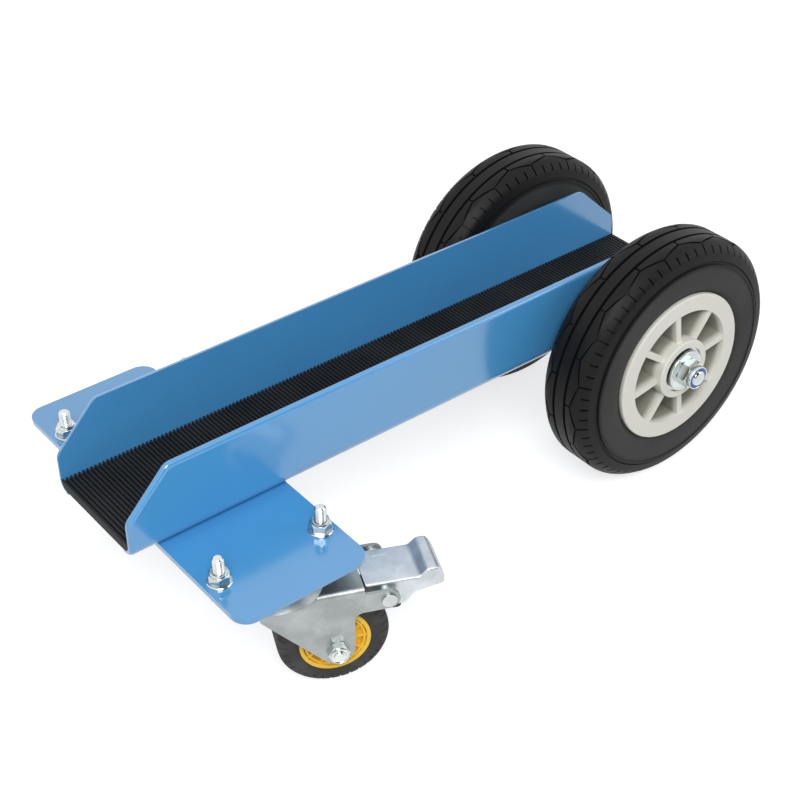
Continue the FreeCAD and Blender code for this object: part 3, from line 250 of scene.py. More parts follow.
class Finish:
    """Material with a shader and the nodes behind it."""

    def __init__(self, name, **constants):
        self.material = bpy.data.materials.new(name)
        self.material.use_nodes = True
        self.tree = self.material.node_tree
        self.shader = self.tree.nodes["Principled BSDF"]
        for socket, setting in constants.items():
            self.shader.inputs[socket.replace("_", " ")].default_value = setting
        self.place = self.node("ShaderNodeTexCoord", {}, {}).outputs["Object"]

    def node(self, kind, settings, values):
        """Node of a type, its settings first, then the values or links of its sockets."""
        node = self.tree.nodes.new(kind)
        for name, setting in settings.items():
            setattr(node, name, setting)
        for key, given in values.items():
            self.set(node.inputs[key], given)
        return node

    def set(self, socket, given):
        """Value or link for one socket."""
        if isinstance(given, Reading):
            given = given.socket
        if isinstance(given, bpy.types.NodeSocket):
            self.tree.links.new(given, socket)
        elif hasattr(given, "__len__") and len(given) == 3 and len(socket.default_value) == 4:
            socket.default_value = (*given, 1)
        else:
            socket.default_value = given

    def noise(self, per_metre, detail=2, stretch=(1, 1, 1)):
        """Cloudy grain with that many waves per metre."""
        placed = self.node("ShaderNodeVectorMath", {"operation": "MULTIPLY"},
                           {0: self.place, 1: stretch})
        node = self.node("ShaderNodeTexNoise", {},
                         {"Vector": placed.outputs[0], "Scale": per_metre, "Detail": detail})
        return Reading(self, node.outputs["Fac"])

    def cells(self, per_metre):
        """Random shade of each of many small cells."""
        node = self.node("ShaderNodeTexVoronoi", {}, {"Vector": self.place, "Scale": per_metre})
        apart = self.node("ShaderNodeSeparateColor", {}, {0: node.outputs["Color"]})
        return Reading(self, apart.outputs[0])

    def mixed(self, share, first, second):
        """Colour between two colours."""
        node = self.node("ShaderNodeMix", {"data_type": "RGBA"}, {"Factor": share})
        self.set(node.inputs[6], first)
        self.set(node.inputs[7], second)
        return node.outputs[2]

    def surface(self, **links):
        """Links into the shader's own sockets."""
        for socket, given in links.items():
            self.set(self.shader.inputs[socket.replace("_", " ")], given)

    def relief(self, height, depth):
        """Bump of a depth in metres."""
        node = self.node("ShaderNodeBump", {}, {"Height": height, "Distance": depth})
        self.surface(Normal=node.outputs["Normal"])


def shade(base, share):
    """Colour scaled in brightness, kept under white."""
    return tuple(min(1, part * share) for part in base)


def paint_finish(colours):
    """Glossy powder coat with a faint orange peel and soft clouding."""
    finish = Finish("powder_coat", Coat_Weight=1.0, Coat_Roughness=0.12, Specular_IOR_Level=0.5)
    cloud = finish.noise(9, 3)
    peel = finish.noise(420, 1)
    speck = finish.noise(1500, 2)
    base = finish.mixed(cloud, shade(colours.paint, 0.93), shade(colours.paint, 1.08))
    # Pale dust flecks on the powder coat.
    dust_and_shade = finish.mixed(speck.between(0.66, 0.78) * 0.25, base, shade(colours.paint, 1.5))
    finish.surface(Base_Color=dust_and_shade, Roughness=0.16 + cloud * 0.08)
    finish.relief(peel, 0.00003)
    return finish.material


def mat_finish(colours):
    """Matt black rubber with a paler bloom and dust in its grain."""
    finish = Finish("mat_rubber", Specular_IOR_Level=0.2)
    bloom = finish.noise(30, 4)
    grain = finish.noise(2600, 2)
    base = finish.mixed(bloom.between(0.35, 0.75), colours.mat, shade(colours.mat, 1.9))
    finish.surface(Base_Color=base, Roughness=0.5 + grain * 0.25)
    finish.relief(grain, 0.00004)
    return finish.material


def tyre_finish(colours, sizes, middle):
    """Black tyre rubber: satin tread, paler walls with painted sheen on top of their bloom, fine
    moulding grain.
    """
    finish = Finish("tyre_rubber", Specular_IOR_Level=0.16)
    bloom = finish.noise(14, 4)
    grain = finish.noise(1300, 2)
    axle = finish.node("ShaderNodeVectorMath", {"operation": "SUBTRACT"},
                       {0: finish.place, 1: middle})
    flat = finish.node("ShaderNodeVectorMath", {"operation": "MULTIPLY"},
                       {0: axle.outputs[0], 1: (1, 0, 1)})
    radius = finish.node("ShaderNodeVectorMath", {"operation": "LENGTH"}, {0: flat.outputs[0]})
    radius = Reading(finish, radius.outputs["Value"])
    wall = 1 - radius.between(sizes.wall_top, sizes.tread_foot)
    # Walls: paler rubber plus painted sheen, varied by the bloom noise; the tread keeps the plain
    # tyre colour.
    base = finish.mixed(wall * (0.2 + bloom * 1.2), colours.tyre, colours.tyre_wall_and_sheen)
    finish.surface(Base_Color=base, Roughness=0.42 + wall * 0.13 + grain * 0.12)
    finish.relief(grain, 0.00005)
    return finish.material


def caster_tyre_finish(colours):
    """Matt grey rubber with scuffed patches."""
    finish = Finish("caster_rubber", Specular_IOR_Level=0.25)
    scuff = finish.noise(60, 5)
    grain = finish.noise(1800, 2)
    base = finish.mixed(scuff.between(0.4, 0.7), shade(colours.caster_tyre, 0.8),
                        shade(colours.caster_tyre, 1.3))
    finish.surface(Base_Color=base, Roughness=0.6 + grain * 0.2)
    finish.relief(grain, 0.00006)
    return finish.material


def plastic_finish(name, base, rough, mottle):
    """Moulded plastic with faint mottling and a fine skin."""
    finish = Finish(name, Specular_IOR_Level=0.5)
    cloud = finish.noise(40, 3)
    skin = finish.noise(2200, 2)
    tone = finish.mixed(cloud, shade(base, 1 - mottle), shade(base, 1 + mottle))
    finish.surface(Base_Color=tone, Roughness=rough + skin * 0.14)
    finish.relief(skin, 0.00003)
    return finish.material


def hub_finish(colours, middle, floor=0.018, face=0.0245):
    """Cream moulded plastic, with painted shade darkening it from the spokes' faces down to its
    recesses' floors.
    """
    finish = Finish("hub_plastic", Specular_IOR_Level=0.5)
    apart = finish.node("ShaderNodeSeparateXYZ", {}, {0: finish.place})
    depth = abs(abs(Reading(finish, apart.outputs["Y"])) - middle)
    cloud = finish.noise(40, 3)
    skin = finish.noise(2200, 2)
    # Painted shade mask: 1 on the recesses' floors, fading to 0 at the spokes' faces.
    painted_shade_mask = 1 - depth.between(floor, face)
    tone = finish.mixed(cloud, shade(colours.hub, 0.97), shade(colours.hub, 1.03))
    # Paints the recess shade colour over the plastic, varied by the clouding.
    dust_and_shade = finish.mixed(painted_shade_mask * (0.75 + cloud * 0.25), tone, colours.hub_recess_shade)
    finish.surface(Base_Color=dust_and_shade, Roughness=0.34 + skin * 0.14 + painted_shade_mask * 0.15)
    finish.relief(skin, 0.00003)
    return finish.material


def zinc_finish(name, base, rough, pressed):
    """Bright zinc plate: cloudy gloss, faint spangle and soft dents from pressing."""
    finish = Finish(name, Metallic=1.0)
    cloud = finish.noise(55, 4)
    spangle = finish.cells(900)
    dents = finish.noise(90, 2)
    tone = finish.mixed(cloud.between(0.3, 0.75), shade(base, 0.78), shade(base, 1.1))
    flecked = finish.mixed(spangle * 0.16, tone, shade(base, 0.62))
    finish.surface(Base_Color=flecked, Roughness=rough + cloud * 0.16 + spangle * 0.05)
    finish.relief(dents + spangle * 0.04, pressed)
    return finish.material


def steel_finish(colours):
    """Ground steel with turning marks."""
    finish = Finish("ground_steel", Metallic=1.0)
    marks = finish.noise(700, 2, (1, 0.1, 1))
    base = finish.mixed(marks, shade(colours.steel, 0.8), shade(colours.steel, 1.15))
    finish.surface(Base_Color=base, Roughness=0.22 + marks * 0.16)
    finish.relief(marks, 0.00001)
    return finish.material


FINISHES = {}


def make_finishes():
    """All of the dolly's materials, from the scene's colours."""
    colours = bpy.context.scene.dolly_colours
    hub_centre = centre_of("right_wheel_tyre")[:]
    FINISHES.update(
        paint=paint_finish(colours),
        mat=mat_finish(colours),
        tyre=tyre_finish(colours, bpy.context.scene.dolly_tyres, hub_centre),
        caster_tyre=caster_tyre_finish(colours),
        hub=hub_finish(colours, abs(hub_centre[1])),
        caster_hub=plastic_finish("caster_hub_plastic", colours.caster_hub, 0.25, 0.06),
        zinc=zinc_finish("pressed_zinc", colours.zinc, 0.33, 0.00028),
        bright=zinc_finish("fastener_zinc", shade(colours.zinc, 1.6), 0.08, 0.00003),
        pedal=zinc_finish("pedal_zinc", colours.pedal, 0.3, 0.0002),
        steel=steel_finish(colours),
        nylon=plastic_finish("nylon", colours.nylon, 0.3, 0.05),
        shoe=plastic_finish("shoe_plastic", colours.shoe, 0.45, 0.15),
    )


def centre_of(node):
    """Middle of a CAD node's box."""
    low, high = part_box(node)
    return (low + high) / 2


def finish_for(name):
    """Material by its short name, made on first use."""
    if not FINISHES:
        make_finishes()
    return FINISHES[name]


def coat(node, name):
    """CAD node in one of the dolly's materials."""
    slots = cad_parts[node].data.materials
    slots.clear()
    slots.append(finish_for(name))


def soften(node, width_mm, angle=30):
    """Worn edges on a CAD node, made by modifiers that leave its mesh as it is."""
    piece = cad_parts[node]
    weld = piece.modifiers.new("joined", "WELD")
    weld.merge_threshold = 1e-6
    bevel = piece.modifiers.new("worn_edges", "BEVEL")
    bevel.width = width_mm / 1000
    bevel.segments = 2
    bevel.limit_method = "ANGLE"
    bevel.angle_limit = math.radians(angle)
    bevel.harden_normals = True


def piece_from(name, form, body, replaced, finish, sharp=35):
    """Object from a finished mesh, riding on a body and standing for its CAD nodes."""
    mesh = bpy.data.meshes.new(name)
    bmesh.ops.recalc_face_normals(form, faces=form.faces)
    form.to_mesh(mesh)
    form.free()
    mesh.shade_smooth()
    mesh.set_sharp_from_angle(angle=math.radians(sharp))
    mesh.materials.append(finish_for(finish))
    piece = bpy.data.objects.new(name, mesh)
    bpy.context.scene.collection.objects.link(piece)
    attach(piece, body)
    if replaced:
        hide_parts(*replaced)
    return piece


def even_turns(steps):
    """Equal steps round a circle."""
    return [FULL_TURN * step / steps for step in range(steps)]


def rings(form, places, turns, reach, closed=True):
    """Skin through rings about local Z; reach gives radius and height from a place and a turn."""
    made = []
    for place in places:
        ring = []
        for turn in turns:
            radius, height = reach(place, turn)
            ring.append(form.verts.new((radius * math.cos(turn), radius * math.sin(turn), height)))
        made.append(ring)
    pairs = list(zip(made, made[1:]))
    if closed:
        pairs.append((made[-1], made[0]))
    for first, second in pairs:
        for here, after in zip(range(-1, len(turns)), range(len(turns))):
            form.faces.new((first[here], first[after], second[after], second[here]))
    return made


def stand(form, spot, direction):
    """Moves a form made about local Z to a spot, with Z along a direction."""
    turn = Vector(direction).to_track_quat("Z", "Y").to_matrix().to_4x4()
    bmesh.ops.transform(form, matrix=Matrix.Translation(spot) @ turn, verts=form.verts)


def add_to(whole, part):
    """Adds one form's mesh to another and frees the part."""
    mesh = bpy.data.meshes.new("part")
    part.to_mesh(mesh)
    part.free()
    whole.from_mesh(mesh)
    bpy.data.meshes.remove(mesh)


def hexagon_reach(flats, turn):
    """Distance from a hexagon's middle to its side at a turn."""
    sixth = math.pi / 3
    return flats / 2 / math.cos(turn % sixth - sixth / 2)


def lock_nut(flats, hex_height, height, collar, bore, slope):
    """Hexagon lock nut with chamfered corners and a rolled collar, standing on z = 0."""
    form = bmesh.new()
    roll = collar / ROLLS_PER_COLLAR
    lip = collar - 2 * roll
    places = [
        ("round", bore, 0), ("round", flats / 2, 0), ("foot", 0, 0), ("corner", 0, 0),
        ("round", flats / 2, hex_height), ("round", collar, hex_height),
        ("round", collar, height - roll), ("round", collar - roll / 2, height - roll / 4),
        ("round", lip, height), ("round", lip - roll / 2, height - roll / 2),
        ("round", lip - roll / 2, height - 2 * roll), ("round", bore, height - 2 * roll),
    ]

    def reach(place, turn):
        kind, radius, level = place
        corner = hexagon_reach(flats, turn)
        drop = (corner - flats / 2) * math.tan(slope)
        if kind == "foot":
            return corner, drop
        if kind == "corner":
            return corner, hex_height - drop
        return radius, level

    rings(form, places, even_turns(NUT_STEPS), reach)
    return form


def hexagon_head(flats, height, slope, core=0.1, rim=0.96, dish=0.8):
    """Bolt head with chamfered outer corners and a dished face, hanging below z = 0."""
    form = bmesh.new()

    def reach(place, turn):
        kind, share, level = place
        corner = hexagon_reach(flats, turn)
        if kind == "corner":
            return corner, level + (corner - flats / 2) * math.tan(slope)
        return corner * share if kind == "foot" else flats / 2 * share, level

    dished = -rim * height
    made = rings(form, [("foot", core, 0), ("foot", 1, 0), ("corner", 1, -height),
                        ("round", rim, -height), ("round", dish, dished),
                        ("round", core, dished)],
                 even_turns(NUT_STEPS), reach, closed=False)
    for end in (made[0], made[-1]):
        form.faces.new(end)
    return form


def threaded_rod(radius, pitch, depth, low, high, chamfer, flank=3, crest=0.3):
    """Rod about Z with a cut thread between two heights and a chamfered end at the upper one."""
    form = bmesh.new()
    rows = max(2, round((high - low) / pitch * THREAD_ROWS)) if pitch else 2

    def reach(place, turn):
        height = low + (high - low) * place / rows
        cut = 0
        if pitch:
            phase = (height / pitch - turn / FULL_TURN) % 1
            cut = depth * min(1, max(0, flank * abs(phase - 0.5) - crest))
        return radius - max(cut, chamfer - (high - height)), height

    made = rings(form, range(rows + 1), even_turns(THREAD_STEPS), reach, closed=False)
    for end in (made[0], made[-1]):
        form.faces.new(end)
    return form


def bolt(sizes, radius, flats, head_height, pitch, end, threaded, chamfer):
    """Hexagon bolt with its head below z = 0 and its thread over the last stretch to its end."""
    form = hexagon_head(flats, head_height, sizes.slope)
    start = end - threaded
    add_to(form, threaded_rod(radius, 0, 0, 0, start, 0))
    add_to(form, threaded_rod(radius, pitch, sizes.thread_depth, start, end, chamfer))
    return form


def turned_ring(section):
    """Ring about Z from its section, each point a radius and a height."""
    form = bmesh.new()
    rings(form, section, even_turns(RING_STEPS), lambda place, turn: place)
    return form


def rounded_line(corners, bends=6):
    """Open line through corners, each x, y and a radius, with the corners worn round."""
    spots = [Vector(corner[:2]) for corner in corners]
    line = [spots[0]]
    for before, here, after, corner in zip(spots, spots[1:], spots[2:], corners[1:]):
        back, onward = (before - here).normalized(), (after - here).normalized()
        reach = corner[2] / math.tan(back.angle(onward) / 2)
        start, end = here + back * reach, here + onward * reach
        for step in range(bends + 1):
            share = step / bends
            line.append(start.lerp(here, share).lerp(here.lerp(end, share), share))
    return [*line, spots[-1]]


class Outline:
    """Half section of a tyre, from the middle of its tread to its bead, read by distance."""

    def __init__(self, corners):
        self.line = rounded_line(corners)
        self.reached = [0]
        for start, end in zip(self.line, self.line[1:]):
            self.reached.append(self.reached[-1] + (end - start).length)

    def at(self, distance, depth):
        """Across and radius at a distance along the section, that deep under its skin."""
        index = min(bisect.bisect(self.reached, distance), len(self.line) - 1)
        start, end = self.line[index - 1], self.line[index]
        run = end - start
        spot = start + run * (distance - self.reached[index - 1]) / run.length
        inward = Vector((run.y, -run.x)).normalized()
        return spot + inward * depth


def trench(distance, width, depth):
    """Depth of a groove with sloped walls at a distance from its middle."""
    wall = width / WALLS_PER_TRENCH
    return depth * min(1, max(0, (width / 2 - abs(distance)) / wall))


def spread(start, end, shares):
    """Places between a start and an end, each at its share of the way."""
    return [start + (end - start) * share for share in shares]


def caster_frame(side):
    """Middle of a caster's axle, the way it rolls, and the way its axle bolt's head faces."""
    centre = centre_of(f"{side}_caster_tyre")
    trail = centre - centre_of(f"{side}_kingpin")
    forward = Vector((trail.x, trail.y, 0)).normalized()
    return centre, forward, Vector((-forward.y, forward.x, 0))


class DOLLY_OT_channel(bpy.types.Operator):
    """Dresses the channel and the cross plate in powder coat"""
    bl_idname = "dolly.channel"
    bl_label = "Channel and cross plate"

    def execute(self, context):
        for node in ("channel", "cross_plate"):
            coat(node, "paint")
        soften("channel", 0.5)
        soften("cross_plate", 0.35)
        return {"FINISHED"}


class DOLLY_OT_rubber_mat(bpy.types.Operator):
    """Dresses the ribbed mat in black rubber"""
    bl_idname = "dolly.rubber_mat"
    bl_label = "Rubber mat"

    def execute(self, context):
        coat("rubber_mat", "mat")
        soften("rubber_mat", 0.3)
        return {"FINISHED"}


class DOLLY_OT_caster_fixings(bpy.types.Operator):
    """Makes the threaded bolts, washers and lock nuts that hold the casters"""
    bl_idname = "dolly.caster_fixings"
    bl_label = "Caster fixings"

    turn_along, turn_across = 0.7, 0.4
    washer_edge = 0.3

    def execute(self, context):
        sizes = context.scene.dolly_fixings
        bolt_low, bolt_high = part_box("caster_bolts")
        nut_low, nut_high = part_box("caster_bolt_nuts")
        washer_low, washer_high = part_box("caster_bolt_washers")
        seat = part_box("cross_plate")[0].z - sizes.seat
        middle = (bolt_low + bolt_high) / 2
        spread_x = (bolt_high.x - bolt_low.x) / 2 - sizes.bolt_flats / math.sqrt(3)
        spread_y = (bolt_high.y - bolt_low.y) / 2 - sizes.bolt_flats / 2
        washer_radius = (washer_high.x - washer_low.x) / 2 - spread_x
        thickness = washer_high.z - washer_low.z
        edge = thickness * self.washer_edge
        hole = sizes.washer_hole
        bolts, nuts, washers = bmesh.new(), bmesh.new(), bmesh.new()
        for along in (-1, 1):
            for across in (-1, 1):
                foot = Vector((middle.x + along * spread_x, middle.y + across * spread_y, 0))
                one_bolt = bolt(sizes, sizes.bolt_radius, sizes.bolt_flats, seat - bolt_low.z,
                                sizes.bolt_pitch, bolt_high.z - seat, bolt_high.z - nut_low.z,
                                sizes.bolt_pitch)
                one_nut = lock_nut(sizes.bolt_flats, sizes.bolt_hex, nut_high.z - nut_low.z,
                                   sizes.bolt_collar, sizes.bolt_radius + sizes.gap, sizes.slope)
                one_washer = turned_ring([
                    (hole, 0), (washer_radius, 0), (washer_radius, thickness - edge),
                    (washer_radius - edge, thickness), (hole, thickness)])
                for whole, part, level in ((bolts, one_bolt, seat), (nuts, one_nut, nut_low.z),
                                           (washers, one_washer, washer_low.z)):
                    angle = self.turn_along * along + self.turn_across * across
                    place = (Matrix.Translation(foot + Vector((0, 0, level)))
                             @ Matrix.Rotation(angle, 4, "Z"))
                    bmesh.ops.transform(part, matrix=place, verts=part.verts)
                    add_to(whole, part)
        piece_from("caster_bolt_set", bolts, "root", ["caster_bolts"], "bright")
        piece_from("caster_nut_set", nuts, "root", ["caster_bolt_nuts"], "bright")
        piece_from("caster_washer_set", washers, "root", ["caster_bolt_washers"], "bright")
        return {"FINISHED"}


class DOLLY_OT_axle(bpy.types.Operator):
    """Makes the axle with its threaded ends, its lock nuts and their nylon inserts"""
    bl_idname = "dolly.axle"
    bl_label = "Axle"

    def execute(self, context):
        sizes = context.scene.dolly_fixings
        axle_low, axle_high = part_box("wheel_axle")
        nut_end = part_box("axle_lock_nuts")[1].y
        nut_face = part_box("axle_washers")[1].y
        middle = centre_of("wheel_axle")
        height = nut_end - nut_face
        bore = sizes.axle_radius + sizes.gap
        roll = sizes.axle_collar / ROLLS_PER_COLLAR
        ring_radius = sizes.axle_collar - 2 * roll
        axles, nuts, inserts = bmesh.new(), bmesh.new(), bmesh.new()
        for side in SIDES.values():
            half = threaded_rod(sizes.axle_radius, 0, 0, 0, nut_face, 0)
            add_to(half, threaded_rod(sizes.axle_radius, sizes.axle_pitch, sizes.thread_depth,
                                      nut_face, axle_high.y, sizes.axle_pitch / 2))
            nut = lock_nut(sizes.axle_flats, sizes.axle_hex, height, sizes.axle_collar,
                           bore, sizes.slope)
            ring = turned_ring([
                (bore, sizes.axle_hex), (ring_radius, sizes.axle_hex),
                (ring_radius, height - 2 * roll),
                (ring_radius - roll, height - roll / 2), (bore + roll / 2, height - roll / 2),
                (bore, height - roll)])
            for whole, part, level in ((axles, half, 0), (nuts, nut, nut_face),
                                       (inserts, ring, nut_face)):
                stand(part, middle + Vector((0, side * level, 0)), (0, side, 0))
                add_to(whole, part)
        piece_from("threaded_axle", axles, "root", ["wheel_axle"], "bright")
        piece_from("axle_nut_set", nuts, "root", ["axle_lock_nuts"], "bright")
        piece_from("nylon_rings", inserts, "root", ["axle_nut_inserts"], "nylon")
        coat("axle_washers", "bright")
        soften("axle_washers", 0.5)
        coat("axle_tube", "paint")
        return {"FINISHED"}


class DOLLY_OT_large_wheels(bpy.types.Operator):
    """Makes the large tyres with their tread, and dresses the hubs and bearings"""
    bl_idname = "dolly.large_wheels"
    bl_label = "Large wheels"

    def execute(self, context):
        sizes = context.scene.dolly_tyres
        for side, sign in SIDES.items():
            form = self.treaded_tyre(sizes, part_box(f"{side}_wheel_tyre"))
            stand(form, centre_of(f"{side}_wheel_tyre"), (0, sign, 0))
            piece_from(f"{side}_treaded_tyre", form, f"{side}_wheel", [f"{side}_wheel_tyre"],
                       "tyre", sharp=40)
            coat(f"{side}_wheel_hub", "hub")
            soften(f"{side}_wheel_hub", 0.7)
            coat(f"{side}_wheel_bearings", "steel")
            coat(f"{side}_wheel_spacer", "steel")
        return {"FINISHED"}

    def treaded_tyre(self, sizes, box):
        """Tyre about local Z whose grid lines run along its grooves, so that they stay crisp."""
        radius = (box[1].x - box[0].x) / 2
        half = (box[1].y - box[0].y) / 2
        outline = Outline([
            (0, radius), (sizes.tread_half, radius, sizes.edge_round),
            (sizes.shoulder_half, radius - sizes.shoulder_drop, sizes.edge_round),
            (half, radius - sizes.wall_drop, sizes.wall_round),
            (half, radius - sizes.foot_drop, sizes.wall_round),
            (sizes.shoulder_half, radius - sizes.bead_drop, sizes.crease_depth),
            (sizes.shoulder_half, radius - sizes.seat_drop)])
        turns = self.tread_turns(sizes, radius)
        arc = radius * FULL_TURN / sizes.blocks
        lanes = {}
        for turn in turns:
            outer = self.lanes(sizes, outline, turn, 0.5, arc)
            inner = self.lanes(sizes, outline, turn, 0, arc)
            lanes[turn] = ([(-1, lane, depth) for lane, depth in reversed(inner)]
                           + [(1, lane, depth) for lane, depth in outer[1:]])

        def reach(index, turn):
            face, lane, depth = lanes[turn][index]
            across, out = outline.at(lane, depth)
            return out, face * across

        form = bmesh.new()
        rings(form, range(len(lanes[turns[0]])), turns, reach)
        return form

    def tread_turns(self, sizes, radius):
        """Angles of the grid lines: close together at every cross groove and slot."""
        period = FULL_TURN / sizes.blocks / 4
        walls = [share * sizes.cross_width / radius for share in (-0.5, -0.33, 0, 0.33, 0.5)]
        between = [share * period for share in (0.3, 0.5, 0.7)]
        return sorted((slot * period + place) % FULL_TURN
                      for slot in range(4 * sizes.blocks) for place in walls + between)

    def lanes(self, sizes, outline, turn, shift, arc):
        """Grid lines from the middle to the bead at one turn, each with its depth."""
        phase = (turn * sizes.blocks / FULL_TURN + shift) % 1
        swing = 1 - 4 * abs(phase - 0.5)
        zigzag = sizes.zigzag_offset - swing * sizes.zigzag_swing
        groove, cross, crease = sizes.groove_width, sizes.cross_width, sizes.crease_offset
        edge = cross * CREASE_EDGE
        spots = [0, sizes.groove_offset / 2]
        spots += [sizes.groove_offset + share * groove for share in GROOVE_LINES]
        spots += spread(spots[-1], zigzag - cross / 2, THIRDS)
        spots += [zigzag + share * cross for share in GROOVE_LINES]
        spots += spread(zigzag + cross / 2, sizes.sipe_start, THIRDS)
        spots += spread(sizes.sipe_start, sizes.sipe_end, SLOT_LINES)
        spots += spread(sizes.sipe_end, crease - edge, (0.25, 0.5, 0.75))
        spots += [crease + share * cross for share in CREASE_LINES]
        spots += spread(crease + edge, outline.reached[-1], WALL_LINES)
        return [(spot, self.depth(sizes, spot, zigzag, phase, arc)) for spot in spots]

    def depth(self, sizes, spot, zigzag, phase, arc):
        """Depth of the tread's grooves at a distance from the middle and a phase of the zigzag."""
        wall = sizes.cross_width / WALLS_PER_TRENCH
        cuts = [trench(spot - sizes.groove_offset, sizes.groove_width, sizes.groove_depth),
                trench(spot - zigzag, sizes.cross_width, sizes.cross_depth)]
        near_start = min(phase, 1 - phase) * arc
        near_half = abs(phase - 0.5) * arc
        if sizes.groove_offset < spot < zigzag:
            cuts.append(trench(near_half, sizes.cross_width, sizes.cross_depth))
        if zigzag < spot < sizes.sipe_end - wall:
            cuts.append(trench(near_start, sizes.cross_width, sizes.cross_depth))
        if sizes.sipe_start < spot < sizes.sipe_end:
            slot = abs((phase * 4 + 0.5) % 1 - 0.5) * arc / 4
            cuts.append(trench(slot, sizes.cross_width, sizes.cross_depth))
        crease = (spot - sizes.crease_offset) / sizes.cross_width
        if CREASE_GROOVE[0] < crease < CREASE_GROOVE[1]:
            cuts.append(sizes.crease_depth)
        elif CREASE_BEAD[0] < crease < CREASE_BEAD[1]:
            return -sizes.crease_depth
        return max(cuts)


class DOLLY_OT_caster_seats(bpy.types.Operator):
    """Dresses the fixed halves of the swivels"""
    bl_idname = "dolly.caster_seats"
    bl_label = "Caster seats"

    def execute(self, context):
        for side in SIDES:
            for part in ("caster_plate", "kingpin", "kingpin_washer", "kingpin_nut"):
                coat(f"{side}_{part}", "zinc")
            coat(f"{side}_swivel_balls", "steel")
        return {"FINISHED"}


class DOLLY_OT_caster_forks(bpy.types.Operator):
    """Dresses the pressed forks and makes the threaded axle bolts and nuts in them"""
    bl_idname = "dolly.caster_forks"
    bl_label = "Caster forks"

    def execute(self, context):
        sizes = context.scene.dolly_fixings
        relief = context.scene.dolly_relief
        for side in SIDES:
            centre, forward, head_way = caster_frame(side)
            body = f"{side}_swivel"
            reach = sizes.pin_nut + sizes.pin_beyond
            axle = bolt(sizes, sizes.pin_radius, sizes.pin_flats, sizes.pin_head, sizes.pin_pitch,
                        2 * sizes.fork_half + reach, reach, sizes.pin_beyond / 2)
            stand(axle, centre + head_way * sizes.fork_half, -head_way)
            piece_from(f"{side}_threaded_bolt", axle, body, [f"{side}_caster_axle_bolt"],
                       "bright")
            nut = lock_nut(sizes.pin_flats, sizes.pin_hex, sizes.pin_nut, sizes.pin_collar,
                           sizes.pin_radius + sizes.gap, sizes.slope)
            stand(nut, centre - head_way * sizes.fork_half, -head_way)
            piece_from(f"{side}_chamfered_nut", nut, body, [f"{side}_caster_axle_nut"],
                       "bright")
            swellings = bmesh.new()
            for face in (-1, 1):
                swelling = self.swelling(relief)
                spot = centre + Vector((0, 0, relief.swell_up)) - forward * relief.swell_back
                stand(swelling, spot + head_way * face * sizes.fork_half, head_way * face)
                add_to(swellings, swelling)
            piece_from(f"{side}_leg_swellings", swellings, body, [], "zinc")
            coat(f"{side}_fork", "zinc")
            for part in ("caster_axle_spacers", "pedal_pin"):
                coat(f"{side}_{part}", "bright")
            soften(f"{side}_pedal_pin", 0.6)
        return {"FINISHED"}

    def swelling(self, relief):
        """Shallow round swelling about local Z, sunk a little into the leg."""
        form = bmesh.new()
        steps, above = 12, 0.9

        def reach(place, turn):
            share = place / steps
            rise = relief.swell_rise * (math.cos(math.pi * share) + above) / (1 + above)
            return relief.swell_radius * share, rise

        made = rings(form, range(1, steps + 1), even_turns(SWELL_STEPS), reach, closed=False)
        form.faces.new(made[0])
        form.faces.new(made[-1])
        return form


class DOLLY_OT_caster_wheels(bpy.types.Operator):
    """Makes the notched caster tyres and the hubs' raised rings, and dresses the rest"""
    bl_idname = "dolly.caster_wheels"
    bl_label = "Caster wheels"

    def execute(self, context):
        sizes = context.scene.dolly_tyres
        relief = context.scene.dolly_relief
        for side in SIDES:
            centre, _, head_way = caster_frame(side)
            body = f"{side}_caster_wheel"
            tyre = self.notched_tyre(sizes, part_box(f"{side}_caster_tyre"))
            stand(tyre, centre, head_way)
            piece_from(f"{side}_notched_tyre", tyre, body, [f"{side}_caster_tyre"],
                       "caster_tyre", sharp=40)
            hub_rings = bmesh.new()
            soft = (relief.ring_outside - relief.ring_inside) / 5
            for face in (-1, 1):
                ring = turned_ring([
                    (relief.ring_inside, relief.ring_foot),
                    (relief.ring_outside, relief.ring_foot),
                    (relief.ring_outside, relief.ring_top - soft),
                    (relief.ring_outside - soft, relief.ring_top),
                    (relief.ring_inside + soft, relief.ring_top),
                    (relief.ring_inside, relief.ring_top - soft)])
                stand(ring, centre, head_way * face)
                add_to(hub_rings, ring)
            piece_from(f"{side}_hub_rings", hub_rings, body, [], "caster_hub")
            coat(f"{side}_caster_hub", "caster_hub")
            soften(f"{side}_caster_hub", 0.3)
            coat(f"{side}_caster_bearings", "steel")
            coat(f"{side}_caster_wheel_spacer", "steel")
        return {"FINISHED"}

    def notched_tyre(self, sizes, box):
        """Tyre about local Z with notches over both shoulders, every other one shorter."""
        radius = (box[1].z - box[0].z) / 2
        outline = Outline([(0, radius), (sizes.caster_half, radius, sizes.caster_round),
                           (sizes.caster_half, sizes.caster_seat)])
        period = FULL_TURN / sizes.notches
        wall = sizes.notch_width / radius
        turns = sorted((notch * period + place) % FULL_TURN for notch in range(sizes.notches)
                       for place in (-wall / 2, -wall / 3, wall / 3, wall / 2, period / 2))
        half = [0, sizes.notch_start / 2]
        half += spread(sizes.notch_start, sizes.notch_end, NOTCH_LINES)
        half += spread(sizes.notch_end, outline.reached[-1], (0.4, 1))
        lanes = [(-1, lane) for lane in reversed(half)] + [(1, lane) for lane in half[1:]]

        def reach(place, turn):
            face, lane = place
            count = turn / period
            short = (round(count) + (face > 0)) % 2
            later = (sizes.notch_end - sizes.notch_start) * THIRDS[0]
            start = sizes.notch_start + later * short
            depth = 0
            if start < lane < sizes.notch_end:
                depth = trench((count - round(count)) * period * radius, sizes.notch_width,
                               sizes.notch_depth)
            across, out = outline.at(lane, depth)
            return out, face * across

        form = bmesh.new()
        rings(form, lanes, turns, reach)
        return form


